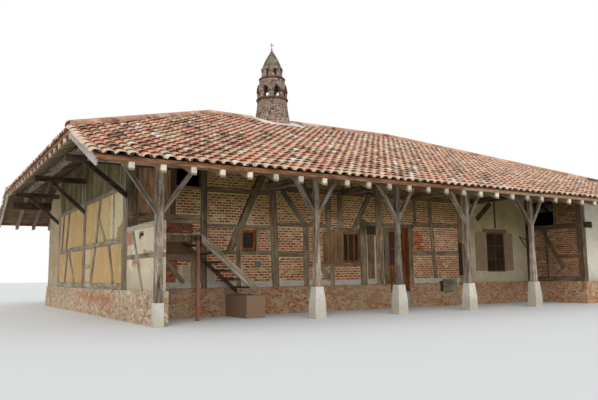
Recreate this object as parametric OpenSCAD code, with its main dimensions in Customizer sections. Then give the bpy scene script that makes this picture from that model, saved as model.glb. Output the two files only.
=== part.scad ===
// Timber-framed farmhouse with a wide tiled roof, an open gallery along the
// front and a tall round chimney tower astride the ridge.
// Millimetres. X runs along the front from left to right, Y from the front
// to the back, Z up. The origin is on the ground under the middle of the roof.

/* [Roof] */
// Overhang of the right eave beyond the right wall
right_overhang = 1403; // [1300:1:1500]
// Overhang of the back eave beyond the back wall
back_overhang = 1999; // [1900:1:2100]
// Rise of every slope for each unit of run
pitch = 0.41; // [0.38:0.01:0.44]
// Height of the tile tops at the front eave
eave_z = 3370; // [3300:10:3500]
// Length of each sloping verge at the left end, in plan
verge_run = 2430; // [1800:10:3000]
// Thickness of the tile covering
tile_t = 110; // [80:5:130]
// Thickness of the boarded deck
deck_t = 30; // [22:1:40]
// Width of a rafter
rafter_w = 110; // [90:5:130]
// Depth of a rafter
rafter_h = 220; // [190:5:240]
// Spacing of the rafters
rafter_gap = 620; // [500:10:800]
// Height of the eave fascia
fascia_h = 65; // [50:5:120]
// Thickness of the eave fascia
fascia_t = 30; // [22:1:40]
// Height of the bargeboard on a verge
barge_h = 190; // [160:10:240]
// Thickness of the bargeboard
barge_t = 45; // [30:1:60]
// Radius of the rounded ridge and hip capping
cap_r = 125; // [100:5:150]
// Depth of the ridge beam
ridge_beam_h = 240; // [200:10:300]
// Width of the ridge beam and of the hip rafters
ridge_beam_w = 140; // [100:10:180]

/* [House] */
// Length of the house from the left wall to the right wall
house_l = 18600; // [18400:50:19000]
// Depth of the house from the front wall to the back wall
house_d = 10640; // [10200:20:11000]
// Overhang of the left eave beyond the left wall
left_overhang = 1597; // [1400:1:1800]
// Overhang of the front eave beyond the line of gallery posts
front_overhang = 1183; // [1000:1:1300]
// Depth of the gallery from the posts to the front wall
gallery_d = 2358; // [2100:2:2600]
// Thickness of the timber frames
frame_t = 180; // [150:5:220]
// Thickness of the brick and daub panels between the timbers
infill_t = 130; // [100:5:140]
// Setback of the panels from the face of the timbers
infill_set = 22; // [10:1:30]
// Height of the stone plinth
plinth_h = 720; // [600:10:760]
// Thickness of the stone plinth
plinth_t = 300; // [260:10:340]
// How far the plinth stands proud of the wall face
plinth_proud = 35; // [20:5:60]
// Height of the sill beams
sill_h = 160; // [120:5:200]
// Depth of the wall plates
plate_h = 200; // [160:10:240]
// Level of the floor inside
floor_z = 480; // [400:10:520]
// Thickness of the floor
floor_t = 80; // [60:5:120]
// Distance from the left wall to the plastered part of the front wall
plaster_x = 11270; // [11260:5:11400]
// Distance from the left wall to the projecting right block
block_in = 14480; // [14400:20:15000]
// Setback of the right block behind the line of gallery posts
block_set = 100; // [60:10:160]
// Length of the masonry pier at the back of the left wall
pier_l = 1930; // [1700:10:2200]
// Thickness of the masonry pier
pier_t = 320; // [280:10:400]

/* [Gallery] */
// Side of a gallery post at its foot
post_w = 175; // [160:5:220]
// Side of a gallery post above its taper
post_top_w = 125; // [100:5:160]
// Height of the tapered foot of a gallery post
post_flare_h = 1000; // [800:50:1300]
// Side of the post at the left corner
corner_post_w = 160; // [140:5:190]
// Level of the underside of the gallery plate
gallery_plate_z = 3350; // [3300:10:3360]
// Width of the gallery plate
gallery_plate_w = 180; // [150:5:200]
// Height of the dressed stone under a post
stone_h = 400; // [300:10:500]
// Height of the rough footing under the stone
footing_h = 350; // [250:10:400]
// Width of the top of the dressed stone
stone_top_w = 220; // [200:10:320]
// Width of the bottom of the dressed stone
stone_base_w = 300; // [280:10:420]
// Width of a gallery brace
brace_w = 95; // [80:5:130]
// Height on the post where its braces start
brace_z = 2580; // [2400:10:2700]
// Reach of a brace along the plate
brace_reach = 620; // [500:10:750]

/* [Left eave] */
// Reach of the outrigger beams from the left wall
outrigger_l = 1470; // [1300:10:1500]
// Height of an outrigger beam
outrigger_h = 160; // [140:5:180]
// Level of the underside of the middle and back outriggers
outrigger_z = 3890; // [3850:10:3890]
// Drop of the front outrigger below the others
outrigger_drop = 140; // [100:10:200]
// Level on the wall where the struts start
strut_z = 3020; // [2800:10:3100]
// Distance from the wall to the head of a strut
strut_reach = 1060; // [800:10:1150]
// Width of a strut
strut_w = 110; // [90:5:150]

/* [Main door] */
// Distance from the left wall to the doorway
door_x = 8100; // [8080:5:8120]
// Clear width of the doorway
door_w = 786; // [760:2:800]
// Level of the door head
door_top = 2450; // [2400:10:2480]
// Thickness of the door leaf
leaf_t = 45; // [36:1:54]
// Gap round the door leaf
leaf_gap = 8; // [6:1:10]
// Width of the stiles and the top rail of the leaf
stile_w = 110; // [90:5:120]
// Height of the solid bottom panel of the leaf
door_panel_h = 820; // [700:10:900]
// Radius of a hinge pin
pin_r = 6; // [5:0.5:8]
// Running clearance of the hinge eye on its pin
pin_clear = 0.3; // [0.2:0.05:0.5]
// Distance from the leaf to the hinge axis
hinge_off = 18; // [13:0.5:18]

/* [Stair] */
// Width of the stair over its strings
stair_w = 1180; // [1000:10:1250]
// Distance from the left wall to the head of the stair
stair_head = 1430; // [1350:10:1500]
// Distance from the left wall to the foot of the stair
stair_foot = 2930; // [2800:10:3050]
// Level of the landing
landing_z = 2020; // [1980:10:2060]
// Level of the stone that the stair stands on
stair_base_z = 550; // [500:10:600]
// Thickness of a string
string_t = 60; // [45:5:70]
// Depth of a string
string_h = 160; // [140:5:200]
// Thickness of a tread
tread_t = 42; // [32:1:50]
// Number of treads
treads = 6; // [5:1:7]

/* [Chimney tower] */
// Distance from the middle of the roof to the tower axis, to the left
tower_left = 2670; // [2500:10:2800]
// Radius of the tower at the roof
tower_r = 720; // [660:10:760]
// Radius under the lower ring
neck_r = 545; // [520:5:570]
// Level of the lower ring
ring1_z = 7370; // [7300:10:7500]
// Radius of the lower ring
ring1_r = 590; // [570:5:620]
// Height of the rings
ring_h = 80; // [60:5:100]
// Radius at the foot of the arcade
arcade_r = 540; // [520:5:560]
// Radius at the head of the arcade
arcade_top_r = 465; // [450:5:480]
// Height of the arcade between the rings
arcade_h = 700; // [640:10:760]
// Thickness of the tower walls
tower_wall = 100; // [80:5:110]
// Number of arches round the arcade
arches = 8; // [6:1:8]
// Turn of the arches about the tower axis
arch_turn = 35; // [0:1:44]
// Width of an arch opening
arch_w = 215; // [180:5:230]
// Height of an arch opening up to its point
arch_h = 420; // [400:10:480]
// Radius of the upper ring
ring2_r = 490; // [480:5:510]
// Radius of the lantern above the upper ring
lantern_r = 395; // [370:5:410]
// Height of the lantern walls
lantern_h = 400; // [360:10:440]
// Width of a lantern slit
slit_w = 85; // [70:5:100]
// Height of a lantern slit
slit_h = 250; // [220:10:270]
// Radius of the spire at its foot
spire_r = 350; // [300:5:355]
// Height of the spire
spire_h = 710; // [600:10:760]
// Height of the iron cross
cross_h = 300; // [260:10:340]

/* [Hidden] */

eps = 1;

// Outline of the roof on the plan
roof_l = left_overhang + house_l + right_overhang;
roof_w = front_overhang + gallery_d + house_d + back_overhang;

// Lines of the plan
left_x = -roof_l / 2 + left_overhang;
right_x = left_x + house_l;
post_y = -roof_w / 2 + front_overhang;
wall_y = post_y + gallery_d;
back_y = wall_y + house_d;
block_x = left_x + block_in;
block_y = post_y + block_set;

// Levels and turning points of the roof
left_eave_z = eave_z + pitch * verge_run;
ridge_z = eave_z + pitch * roof_w / 2;
ridge_left = -roof_l / 2 + (ridge_z - left_eave_z) / pitch;
ridge_right = roof_l / 2 - roof_w / 2;
deck_drop = tile_t;
rafter_drop = deck_drop + deck_t;
frame_drop = rafter_drop + rafter_h;
verge_y = roof_w / 2 - verge_run;
function front_roof_z(y) = eave_z + pitch * (y + roof_w / 2);

// Levels of the walls
sill_top = plinth_h + sill_h;
plate_z = front_roof_z(wall_y) - frame_drop - plate_h;
left_plate_z = left_eave_z + pitch * left_overhang - frame_drop - plate_h;
back_top_z = front_roof_z(-back_y) - frame_drop;
right_top_z = eave_z + pitch * (roof_l / 2 - right_x) - frame_drop;
rail_z = 2370;
rail_h = 120;
upper_z = 3370;
upper_h = 150;

// Windows of the front wall: distance from the left wall, level, width, height
small_window = [3050, 1700, 450, 560];
barred_window = [6370, 1390, 630, 880];
long_window = [12400, 1070, 940, 1350];
loft_opening = [1230, 3340, 670, 520];
loft_hatch = [270, 2590, 800, 1130];

// Gallery posts: distances from the left wall
gallery_x = [0, 3913, 6453, 9000, 11780];
tie_x = [3913, 6453, 9000, 11780];
truss_x = [4300, 7700, 11700];

// Chimney tower
tower_x = -tower_left;
flue_w = 860;
trimmer_w = 100;
ring2_z = ring1_z + ring_h + arcade_h;
lantern_z = ring2_z + ring_h;
spire_z = lantern_z + lantern_h;

wood = "#8a7f70";
dark_wood = "#5b4a3a";
brick = "#a85a3c";
stone = "#b3aa97";
daub = "#c2a468";
plaster = "#cfc8b4";
tile = "#b5694a";
mortar = "#b9b3a6";
iron = "#2e2d2c";

// Plan outlines of the four slopes
front_plan = [
    [-roof_l / 2, -roof_w / 2], [roof_l / 2, -roof_w / 2],
    [ridge_right, 0], [ridge_left, 0], [-roof_l / 2, -verge_y]
];
back_plan = [for (p = front_plan) [p[0], -p[1]]];
left_plan = [[-roof_l / 2, -verge_y], [ridge_left, 0], [-roof_l / 2, verge_y]];
right_plan = [
    [roof_l / 2, -roof_w / 2], [roof_l / 2, roof_w / 2], [ridge_right, 0]
];

// Everything under the roof planes lowered by drop, out to e past the eaves
module roof_envelope(drop, e = 0) {
    intersection() {
        rotate([90, 0, 90])
            linear_extrude(roof_l + 2 * e, center = true)
                polygon([
                    [-roof_w / 2 - e, 0], [roof_w / 2 + e, 0],
                    [roof_w / 2 + e, eave_z - drop - pitch * e],
                    [0, ridge_z - drop],
                    [-roof_w / 2 - e, eave_z - drop - pitch * e]
                ]);
        rotate([90, 0, 0])
            linear_extrude(roof_w + 2 * e, center = true)
                polygon([
                    [-roof_l / 2 - e, 0], [roof_l / 2 + e, 0],
                    [roof_l / 2 + e, eave_z - drop - pitch * e],
                    [ridge_right, ridge_z - drop],
                    [ridge_left, ridge_z - drop],
                    [-roof_l / 2 - e, left_eave_z - drop - pitch * e]
                ]);
    }
}

// A layer of the roof between two drops
module roof_layer(top, bottom) {
    difference() {
        roof_envelope(top);
        roof_envelope(bottom, 50);
    }
}

// An outline on the plan carried up through the roof
module plan_prism(points) {
    linear_extrude(ridge_z + 1000)
        polygon(points);
}

// A box from its lowest corner and its size
module block(at, size) {
    translate(at) cube(size);
}

// A straight timber in a wall, from one point to another
module bar(x1, z1, x2, z2, w) {
    d = [x2 - x1, z2 - z1];
    n = [-d[1], d[0]] / norm(d) * w / 2;
    polygon([
        [x1, z1] + n, [x1, z1] - n, [x2, z2] - n, [x2, z2] + n
    ]);
}

// An upright or a level timber from its edges
module rail(x1, z1, x2, z2) {
    translate([x1, z1]) square([x2 - x1, z2 - z1]);
}

// A hole for a window or a door in a wall outline
module hole(o) {
    translate([o[0], o[1]]) square([o[2], o[3]]);
}

// A wall outline set up in the front wall, from depth a to depth b
module in_front_wall(a, b) {
    translate([left_x, wall_y + b, 0])
        rotate([90, 0, 0])
            linear_extrude(b - a)
                children();
}

// A wall outline set up in a wall that faces left, from depth a to depth b
module facing_left(x, y, a, b) {
    translate([x + a, y, 0])
        rotate([90, 0, 90])
            linear_extrude(b - a)
                children();
}

// The space under the rafters
module under_rafters() {
    intersection() {
        children();
        roof_envelope(frame_drop);
    }
}

// Timbers of the front wall: left edge, lower edge, right edge, upper edge
front_rails = [
    [0, plinth_h, 260, plate_z],
    [1080, 2590, 1230, plate_z],
    [1900, plinth_h, 2080, plate_z],
    [1650, plinth_h, 1790, 1430],
    [2920, plinth_h, 3050, 2270],
    [3500, 1590, 3580, 2270],
    [5000, plinth_h, 5190, rail_z],
    [5770, 2250, 5960, upper_z],
    [6200, 2270, 6370, upper_z],
    [5890, plinth_h, 6060, 1270],
    [7000, plinth_h, 7240, 2650],
    [7610, plinth_h, 7870, plate_z],
    [7900, plinth_h, door_x, 2570],
    [door_x + door_w, plinth_h, door_x + door_w + 200, 2570],
    [9130, 2570, 9250, upper_z],
    [11070, plinth_h, plaster_x, plate_z],
    [0, plinth_h, door_x, sill_top],
    [door_x + door_w, plinth_h, plaster_x, sill_top],
    [0, 2370, 1900, 2590],
    [0, 1430, 1900, 1590],
    [1080, 3270, 1900, 3340],
    [1080, 3860, 1900, 3950],
    [260, 3720, 1080, 3830],
    [2080, 2270, 4000, 2390],
    [2080, 1590, 4000, 1700],
    [2080, 3220, 3950, 3350],
    [4100, rail_z, 5800, rail_z + rail_h],
    [4100, 1540, 5000, 1680],
    [5190, 1270, 7000, 1390],
    [6200, 2270, 7000, 2400],
    [4050, upper_z, 7610, upper_z + upper_h],
    [7240, 2500, 7610, 2610],
    [7870, upper_z, door_x, upper_z + upper_h],
    [door_x + door_w, upper_z, 11070, upper_z + upper_h],
    [7870, door_top, door_x, door_top + 120],
    [door_x + door_w, door_top, 9130, door_top + 120],
    [9080, 2530, 11070, 2650],
    [9080, 1600, 11070, 1740]
];

// Sloping timbers of the front wall: from, to, width
front_braces = [
    [4100, plinth_h, 4000, plate_z, 220],
    [2700, 1640, 3900, plate_z, 190],
    [5080, 2430, 4330, upper_z, 170],
    [5560, 1330, 5890, sill_top, 140],
    [6760, 2330, 7400, upper_z + 60, 170],
    [900, 1500, 1450, sill_top, 110],
    [10010, sill_top, 9820, upper_z, 140]
];

module front_timbers() {
    for (r = front_rails) rail(r[0], r[1], r[2], r[3]);
    for (b = front_braces) bar(b[0], b[1], b[2], b[3], b[4]);
}

module front_openings() {
    hole(small_window);
    hole(barred_window);
    hole(loft_opening);
    hole(loft_hatch);
    hole([door_x, 0, door_w, door_top]);
}

module front_frame_left() {
    color(wood) in_front_wall(0, frame_t) intersection() {
        difference() {
            front_timbers();
            front_openings();
        }
        rail(0, plinth_h, door_x, plate_z);
    }
}

module front_frame_right() {
    color(wood) in_front_wall(0, frame_t) intersection() {
        difference() {
            front_timbers();
            front_openings();
        }
        rail(door_x + door_w, plinth_h, plaster_x, plate_z);
    }
}

module front_beams() {
    color(wood) {
        in_front_wall(0, frame_t) {
            rail(door_x, door_top, door_x + door_w, door_top + 120);
            rail(door_x, upper_z, door_x + door_w, upper_z + upper_h);
        }
        under_rafters()
            block([left_x, wall_y, plate_z], [block_in, frame_t, plate_h + 200]);
    }
}

module front_infill() {
    color(brick) in_front_wall(infill_set, infill_set + infill_t) difference() {
        rail(0, plinth_h, plaster_x, plate_z);
        front_timbers();
        front_openings();
        rail(door_x, door_top, door_x + door_w, door_top + 120);
        rail(door_x, upper_z, door_x + door_w, upper_z + upper_h);
    }
}

module plaster_wall() {
    color(plaster) in_front_wall(0, frame_t) difference() {
        rail(plaster_x, plinth_h, block_in, plate_z);
        hole(long_window);
    }
}

module plaster_wall_timbers() {
    w = long_window;
    head = w[1] + w[3];
    color(dark_wood) in_front_wall(-18, 0) {
        rail(w[0] - 170, head, w[0] + w[2] + 100, head + 110);
        rail(w[0] + 440, head + 140, w[0] + 510, plate_z - 40);
        bar(w[0] - 430, head + 430, w[0] + 280, head + 1010, 180);
        rail(plaster_x + 20, sill_top + 70, plaster_x + 150, head - 430);
    }
}

// Stone plinths

module plan_box(x1, y1, x2, y2) {
    translate([x1, y1]) square([x2 - x1, y2 - y1]);
}

plinth_in = plinth_t - plinth_proud;
corner_stone_w = 200;
corner_stone_h = 490;
batter = 40;

module plinth_left() {
    y1 = post_y + corner_stone_w / 2;
    color(stone)
        translate([left_x, back_y + plinth_proud, 0])
            rotate([90, 0, 0])
                linear_extrude(back_y + plinth_proud - y1)
                    polygon([
                        [-plinth_proud - batter, 0], [plinth_in, 0],
                        [plinth_in, plinth_h], [-plinth_proud, plinth_h]
                    ]);
}

module plinth_front() {
    y1 = wall_y - plinth_proud;
    y2 = wall_y + plinth_in;
    color(stone) linear_extrude(plinth_h) {
        plan_box(left_x + plinth_in, y1, left_x + door_x, y2);
        plan_box(left_x + door_x + door_w, y1, block_x + plinth_in, y2);
        plan_box(block_x - plinth_proud, block_y - plinth_proud,
                 block_x + plinth_in, y2);
        plan_box(block_x, block_y - plinth_proud,
                 right_x - plinth_in, block_y + plinth_in);
    }
}

module plinth_back() {
    color(stone) linear_extrude(plinth_h)
        plan_box(left_x + plinth_in, back_y - plinth_in,
                 right_x - plinth_in, back_y + plinth_proud);
}

module plinth_right() {
    color(stone) linear_extrude(plinth_h)
        plan_box(right_x - plinth_in, block_y - plinth_proud,
                 right_x + plinth_proud, back_y + plinth_proud);
}

module door_step() {
    color(stone) linear_extrude(floor_z)
        plan_box(left_x + door_x, wall_y - plinth_proud,
                 left_x + door_x + door_w, wall_y + plinth_in);
}

module ground_floor() {
    color(stone) translate([0, 0, floor_z - floor_t]) linear_extrude(floor_t) {
        plan_box(left_x + plinth_in, wall_y + plinth_in,
                 right_x - plinth_in, back_y - plinth_in);
        plan_box(block_x + plinth_in, block_y + plinth_in,
                 right_x - plinth_in, back_y - plinth_in);
    }
}

// Left wall: distances are measured back from the face of the front wall,
// those of the studs as shares of the wall's length
left_len = house_d - pier_l;
mid_post = [0.518 * left_len, 0.548 * left_len];
left_mid_z = 3200;
left_low_z = 1870;
left_rails = [
    [frame_t, plinth_h, left_len, sill_top],
    [frame_t, left_low_z, left_len, left_low_z + 140],
    [frame_t, left_mid_z, left_len, left_mid_z + 130],
    [frame_t, plinth_h, 420, ridge_z],
    [mid_post[0], plinth_h, mid_post[1], ridge_z],
    [left_len - 150, plinth_h, left_len, ridge_z],
    [mid_post[0] - 668, 1300, mid_post[0], 1420]
];
left_studs = [
    [0.821, left_low_z, 0.857, sill_top, 110],
    [0.786, left_low_z, 0.684, sill_top, 120],
    [0.367, left_low_z, 0.423, sill_top, 130],
    [0.194, left_low_z, 0.140, sill_top, 110],
    [0.902, left_mid_z, 0.929, left_low_z + 140, 90],
    [0.799, left_mid_z, 0.842, left_low_z + 140, 120],
    [0.312, left_mid_z, 0.361, left_low_z + 140, 140],
    [0.333, 2650, 0.241, left_low_z + 140, 110],
    [0.150, left_mid_z, 0.148, left_low_z + 140, 60]
];

module left_timbers() {
    for (r = left_rails) rail(r[0], r[1], r[2], r[3]);
    for (b = left_studs)
        bar(b[0] * left_len, b[1], b[2] * left_len, b[3], b[4]);
}

module left_frame() {
    color(wood) under_rafters() facing_left(left_x, wall_y, 0, frame_t) {
        left_timbers();
        rail(frame_t, left_plate_z, left_len, ridge_z);
    }
}

module left_infill() {
    color(daub)
        facing_left(left_x, wall_y, infill_set, infill_set + infill_t)
            difference() {
                rail(frame_t, plinth_h, left_len, left_mid_z + 100);
                left_timbers();
            }
}

module left_boards() {
    color(wood) intersection() {
        facing_left(left_x, wall_y, 10, 50)
            difference() {
                rail(frame_t, left_mid_z + 100, left_len, left_plate_z);
                left_timbers();
            }
        roof_envelope(frame_drop);
    }
}

module corner_pier() {
    color(daub) under_rafters()
        block([left_x, back_y - pier_l, plinth_h], [pier_t, pier_l, ridge_z]);
}

// Low end wall of the gallery: distances from the line of posts
low_top = 2110;
low_wall_t = 200;
low_rail_z = 1440;

module low_timbers() {
    rail(corner_post_w / 2, low_top, gallery_d, low_top + 110);
    rail(corner_post_w / 2, low_rail_z, gallery_d, low_rail_z + 100);
    bar(0.8 * gallery_d, low_top, 0.46 * gallery_d, plinth_h, 110);
}

module low_wall_timbers() {
    color(wood) facing_left(left_x, post_y, 0, low_wall_t)
        intersection() {
            low_timbers();
            rail(corner_post_w / 2, plinth_h, gallery_d, low_top + 110);
        }
}

module low_wall() {
    color(plaster) facing_left(left_x, post_y, 12, low_wall_t - 12)
        difference() {
            rail(corner_post_w / 2, plinth_h, gallery_d, low_top);
            low_timbers();
            rail(0.46 * gallery_d, low_top - 170, 0.585 * gallery_d, low_top - 60);
        }
}

// Return wall of the right block: distances back from its front corner
return_len = wall_y - block_y;
return_opening = [1090, 2670, 900, 840];

module return_timbers() {
    o = return_opening;
    rail(0, plinth_h, return_len, sill_top);
    rail(0, plinth_h, 210, ridge_z);
    rail(return_len - 150, plinth_h, return_len, ridge_z);
    rail(0, o[1] - 170, return_len, o[1]);
    rail(o[0] - 120, o[1], o[0], o[1] + o[3]);
    rail(0, o[1] + o[3], return_len, o[1] + o[3] + 110);
    rail(0, 1500, 1000, 1600);
    rail(1380, plinth_h, 1470, o[1] - 170);
    bar(o[0] + 500, o[1] - 110, o[0] - 300, sill_top + 250, 120);
}

module return_frame() {
    color(wood) under_rafters()
        facing_left(block_x, block_y, 0, frame_t)
            return_timbers();
}

module return_infill() {
    color(brick) under_rafters()
        facing_left(block_x, block_y, infill_set, infill_set + infill_t)
            difference() {
                rail(0, plinth_h, return_len, ridge_z);
                return_timbers();
                hole(return_opening);
            }
}

module block_front_wall() {
    color(plaster) under_rafters()
        block([block_x + frame_t, block_y, plinth_h],
              [right_x - block_x - 2 * frame_t, frame_t, ridge_z]);
}

// Plain framed bays for the walls that the gallery does not cover
bay_post = 200;

module bays(len, n, top) {
    step = (len - bay_post) / n;
    rail(0, plinth_h, len, sill_top);
    rail(0, rail_z, len, rail_z + rail_h);
    rail(0, top - plate_h, len, top + 200);
    for (i = [0 : n]) rail(i * step, plinth_h, i * step + bay_post, top);
    for (i = [0 : n - 1])
        if (i % 2 == 0) bar(i * step + 300, rail_z, i * step + step - 200, sill_top, 140);
}

right_len = back_y - block_y;

module in_right_wall(a, b) {
    translate([right_x - b, block_y, 0])
        rotate([90, 0, 90])
            linear_extrude(b - a)
                children();
}

module right_frame() {
    color(wood) under_rafters() in_right_wall(0, frame_t)
        bays(right_len, 5, right_top_z);
}

module right_infill() {
    color(brick) under_rafters() in_right_wall(infill_set, infill_set + infill_t)
        difference() {
            rail(0, plinth_h, right_len, right_top_z);
            bays(right_len, 5, right_top_z);
        }
}

back_len = house_l - pier_t - frame_t;

module in_back_wall(a, b) {
    translate([left_x + pier_t, back_y - a, 0])
        rotate([90, 0, 0])
            linear_extrude(b - a)
                children();
}

module back_frame() {
    color(wood) under_rafters() in_back_wall(0, frame_t)
        bays(back_len, 7, back_top_z);
}

module back_infill() {
    color(brick) under_rafters() in_back_wall(infill_set, infill_set + infill_t)
        difference() {
            rail(0, plinth_h, back_len, back_top_z);
            bays(back_len, 7, back_top_z);
        }
}

// Gallery

// A block that narrows from w1 at the bottom to w2 at the top
module tapered_block(w1, w2, h) {
    intersection() {
        rotate([90, 0, 0])
            linear_extrude(w1, center = true)
                polygon([[-w1 / 2, 0], [w1 / 2, 0], [w2 / 2, h], [-w2 / 2, h]]);
        rotate([90, 0, 90])
            linear_extrude(w1, center = true)
                polygon([[-w1 / 2, 0], [w1 / 2, 0], [w2 / 2, h], [-w2 / 2, h]]);
    }
}

stair_y = wall_y - plinth_proud - stair_w;

module gallery_stones() {
    color(stone) {
        translate([left_x - corner_stone_w / 2, post_y - corner_stone_w / 2, 0])
            cube([corner_stone_w, corner_stone_w, corner_stone_h]);
        for (x = tie_x)
            translate([left_x + x, post_y, 0]) {
                translate([-stone_base_w / 2, -stone_base_w / 2, 0])
                    cube([stone_base_w, stone_base_w, footing_h]);
                translate([0, 0, footing_h])
                    tapered_block(stone_base_w, stone_top_w, stone_h);
            }
        block([left_x + stair_foot - 350, stair_y - 40, 0],
              [500, stair_w + 40, stair_base_z]);
    }
}

post_foot = footing_h + stone_h;

module upright(x, w, z) {
    block([left_x + x - w / 2, post_y - w / 2, z], [w, w, gallery_plate_z - z]);
}

module gallery_posts() {
    color(wood) {
        upright(0, corner_post_w, corner_stone_h);
        for (x = tie_x) {
            translate([left_x + x, post_y, post_foot])
                tapered_block(post_w, post_top_w, post_flare_h);
            upright(x, post_top_w, post_foot + post_flare_h);
        }
    }
}

// A sloping brace between a post face and the underside of a beam
module brace_outline(z, reach, w) {
    intersection() {
        bar(0, z - 150, reach, gallery_plate_z + 40, brace_w);
        rail(w / 2, 0, reach + brace_w, gallery_plate_z);
    }
}

module gallery_brace(z, reach, w) {
    rotate([90, 0, 0])
        linear_extrude(brace_w, center = true)
            brace_outline(z, reach, w);
}

module gallery_braces() {
    color(wood)
        for (x = gallery_x) {
            z = x == 0 ? brace_z - 130 : brace_z;
            reach = x == 0 ? brace_reach + 180 : brace_reach;
            w = x == 0 ? corner_post_w : post_top_w;
            translate([left_x + x, post_y, 0]) {
                gallery_brace(z, reach, w);
                mirror([1, 0, 0]) gallery_brace(z, reach, w);
                if (x > 0) rotate([0, 0, 90]) gallery_brace(z, reach, w);
            }
        }
}

module gallery_plate() {
    color(wood) under_rafters()
        block([left_x - outrigger_l, post_y - gallery_plate_w / 2, gallery_plate_z],
              [outrigger_l + block_in, gallery_plate_w, 400]);
}

module gallery_ties() {
    y1 = post_y + gallery_plate_w / 2;
    color(dark_wood)
        for (x = tie_x)
            block([left_x + x - 80, y1, gallery_plate_z], [160, wall_y - y1, 180]);
}

// Trusses inside, each a tie beam and a king post

ridge_beam_z = ridge_z - rafter_drop - ridge_beam_h;

module roof_trusses() {
    y1 = wall_y + frame_t;
    color(dark_wood)
        for (x = truss_x)
            translate([left_x + x, 0, 0]) {
                block([-90, y1, gallery_plate_z], [180, back_y - frame_t - y1, 220]);
                block([-80, -ridge_beam_w / 2, gallery_plate_z + 220],
                      [160, ridge_beam_w, ridge_beam_z - gallery_plate_z - 220]);
            }
}

// Left eave

bracket_y = [wall_y + 90, wall_y + (mid_post[0] + mid_post[1]) / 2, back_y - pier_l + 150];
function bracket_z(i) = i == 0 ? outrigger_z - outrigger_drop : outrigger_z;

module eave_brackets() {
    color(dark_wood) {
        under_rafters()
            block([left_x - outrigger_l + 100, back_y - frame_t, back_top_z - plate_h],
                  [outrigger_l - 100, frame_t, plate_h + 100]);
        for (i = [0 : 2])
            translate([left_x, bracket_y[i], 0])
                rotate([90, 0, 0])
                    linear_extrude(strut_w, center = true)
                        intersection() {
                            union() {
                                rail(-outrigger_l, bracket_z(i), 0, bracket_z(i) + outrigger_h);
                                bar(60, strut_z - 60, -strut_reach, bracket_z(i) + 60, strut_w);
                            }
                            rail(-outrigger_l, 0, 0, bracket_z(i) + outrigger_h);
                        }
    }
}

// Crooked purlin: its front end bends down to the front outrigger
purlin_w = 160;
purlin_x = left_x - strut_reach - purlin_w / 2;
bend_y = wall_y + 3000;
bend = outrigger_drop;
function purlin_z(y) = outrigger_z + outrigger_h
    - (y < bend_y ? bend * pow((bend_y - y) / (bend_y - bracket_y[0]), 2) : 0);

module eave_purlin() {
    ys = [for (i = [0 : 8]) bracket_y[0] - 80 + i * (bend_y - bracket_y[0] + 80) / 8];
    lower = concat([for (y = ys) [y, max(purlin_z(y), purlin_z(bracket_y[0]))]],
                   [[verge_y - 250, purlin_z(bend_y)]]);
    upper = [for (i = [len(lower) - 1 : -1 : 0]) [lower[i][0], lower[i][1] + 200]];
    color(wood) under_rafters()
        translate([purlin_x, 0, 0])
            rotate([90, 0, 90])
                linear_extrude(purlin_w)
                    polygon(concat(lower, upper));
}

// Roof carpentry

module hip_strip(x1, y1, x2, y2, w) {
    d = [x2 - x1, y2 - y1];
    n = [-d[1], d[0]] / norm(d) * w / 2;
    e = d / norm(d) * 400;
    polygon([
        [x1, y1] - e + n, [x1, y1] - e - n, [x2, y2] + e - n, [x2, y2] + e + n
    ]);
}

// The four hip lines in plan, each kept to its own quarter of the roof
module hip_lines(w) {
    for (s = [-1, 1]) {
        intersection() {
            hip_strip(-roof_l / 2, s * verge_y, ridge_left, 0, w);
            plan_box(-roof_l / 2 + 60, s > 0 ? 0.3 : -verge_y + 60,
                     ridge_left + 49.5, s > 0 ? verge_y - 60 : -0.3);
        }
        intersection() {
            hip_strip(roof_l / 2, s * roof_w / 2, ridge_right, 0, w);
            plan_box(ridge_right - 49.5, s > 0 ? 0.3 : -roof_w / 2 + fascia_t,
                     roof_l / 2 - fascia_t, s > 0 ? roof_w / 2 - fascia_t : -0.3);
        }
    }
}

module flue_ring(grow = 0) {
    s = flue_w + 2 * trimmer_w + 2 * grow;
    translate([tower_x, 0]) square(s, center = true);
}

module ridge_and_hips() {
    t = flue_w / 2 + trimmer_w;
    rb = ridge_beam_w / 2;
    color(dark_wood) {
        intersection() {
            roof_layer(rafter_drop, frame_drop);
            linear_extrude(ridge_z) {
                hip_lines(ridge_beam_w);
                for (s = [-1, 1]) {
                    plan_box(tower_x + (s > 0 ? flue_w / 2 : -t), -t,
                             tower_x + (s > 0 ? t : -flue_w / 2), t);
                    plan_box(tower_x - flue_w / 2 + 0.3, s > 0 ? flue_w / 2 : -t,
                             tower_x + flue_w / 2 - 0.3, s > 0 ? t : -flue_w / 2);
                }
            }
        }
        intersection() {
            union() {
                block([ridge_left + 50, -rb, ridge_beam_z],
                      [tower_x - t - 0.3 - ridge_left - 50, 2 * rb, 600]);
                block([tower_x + t + 0.3, -rb, ridge_beam_z],
                      [ridge_right - 50 - tower_x - t - 0.3, 2 * rb, 600]);
            }
            roof_envelope(rafter_drop);
        }
    }
}

// The eave boards: fascias on the eaves and bargeboards on the left verges
module fascia_band() {
    difference() {
        intersection() {
            roof_layer(rafter_drop, rafter_drop + fascia_h);
            linear_extrude(ridge_z) difference() {
                square([roof_l, roof_w], center = true);
                square([roof_l - 2 * fascia_t, roof_w - 2 * fascia_t], center = true);
            }
        }
        block([-roof_l / 2 - 10, -roof_w / 2 + fascia_t, 0],
              [100, verge_run - fascia_t, ridge_z]);
        block([-roof_l / 2 - 10, verge_y, 0],
              [100, verge_run - fascia_t, ridge_z]);
    }
}

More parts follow.
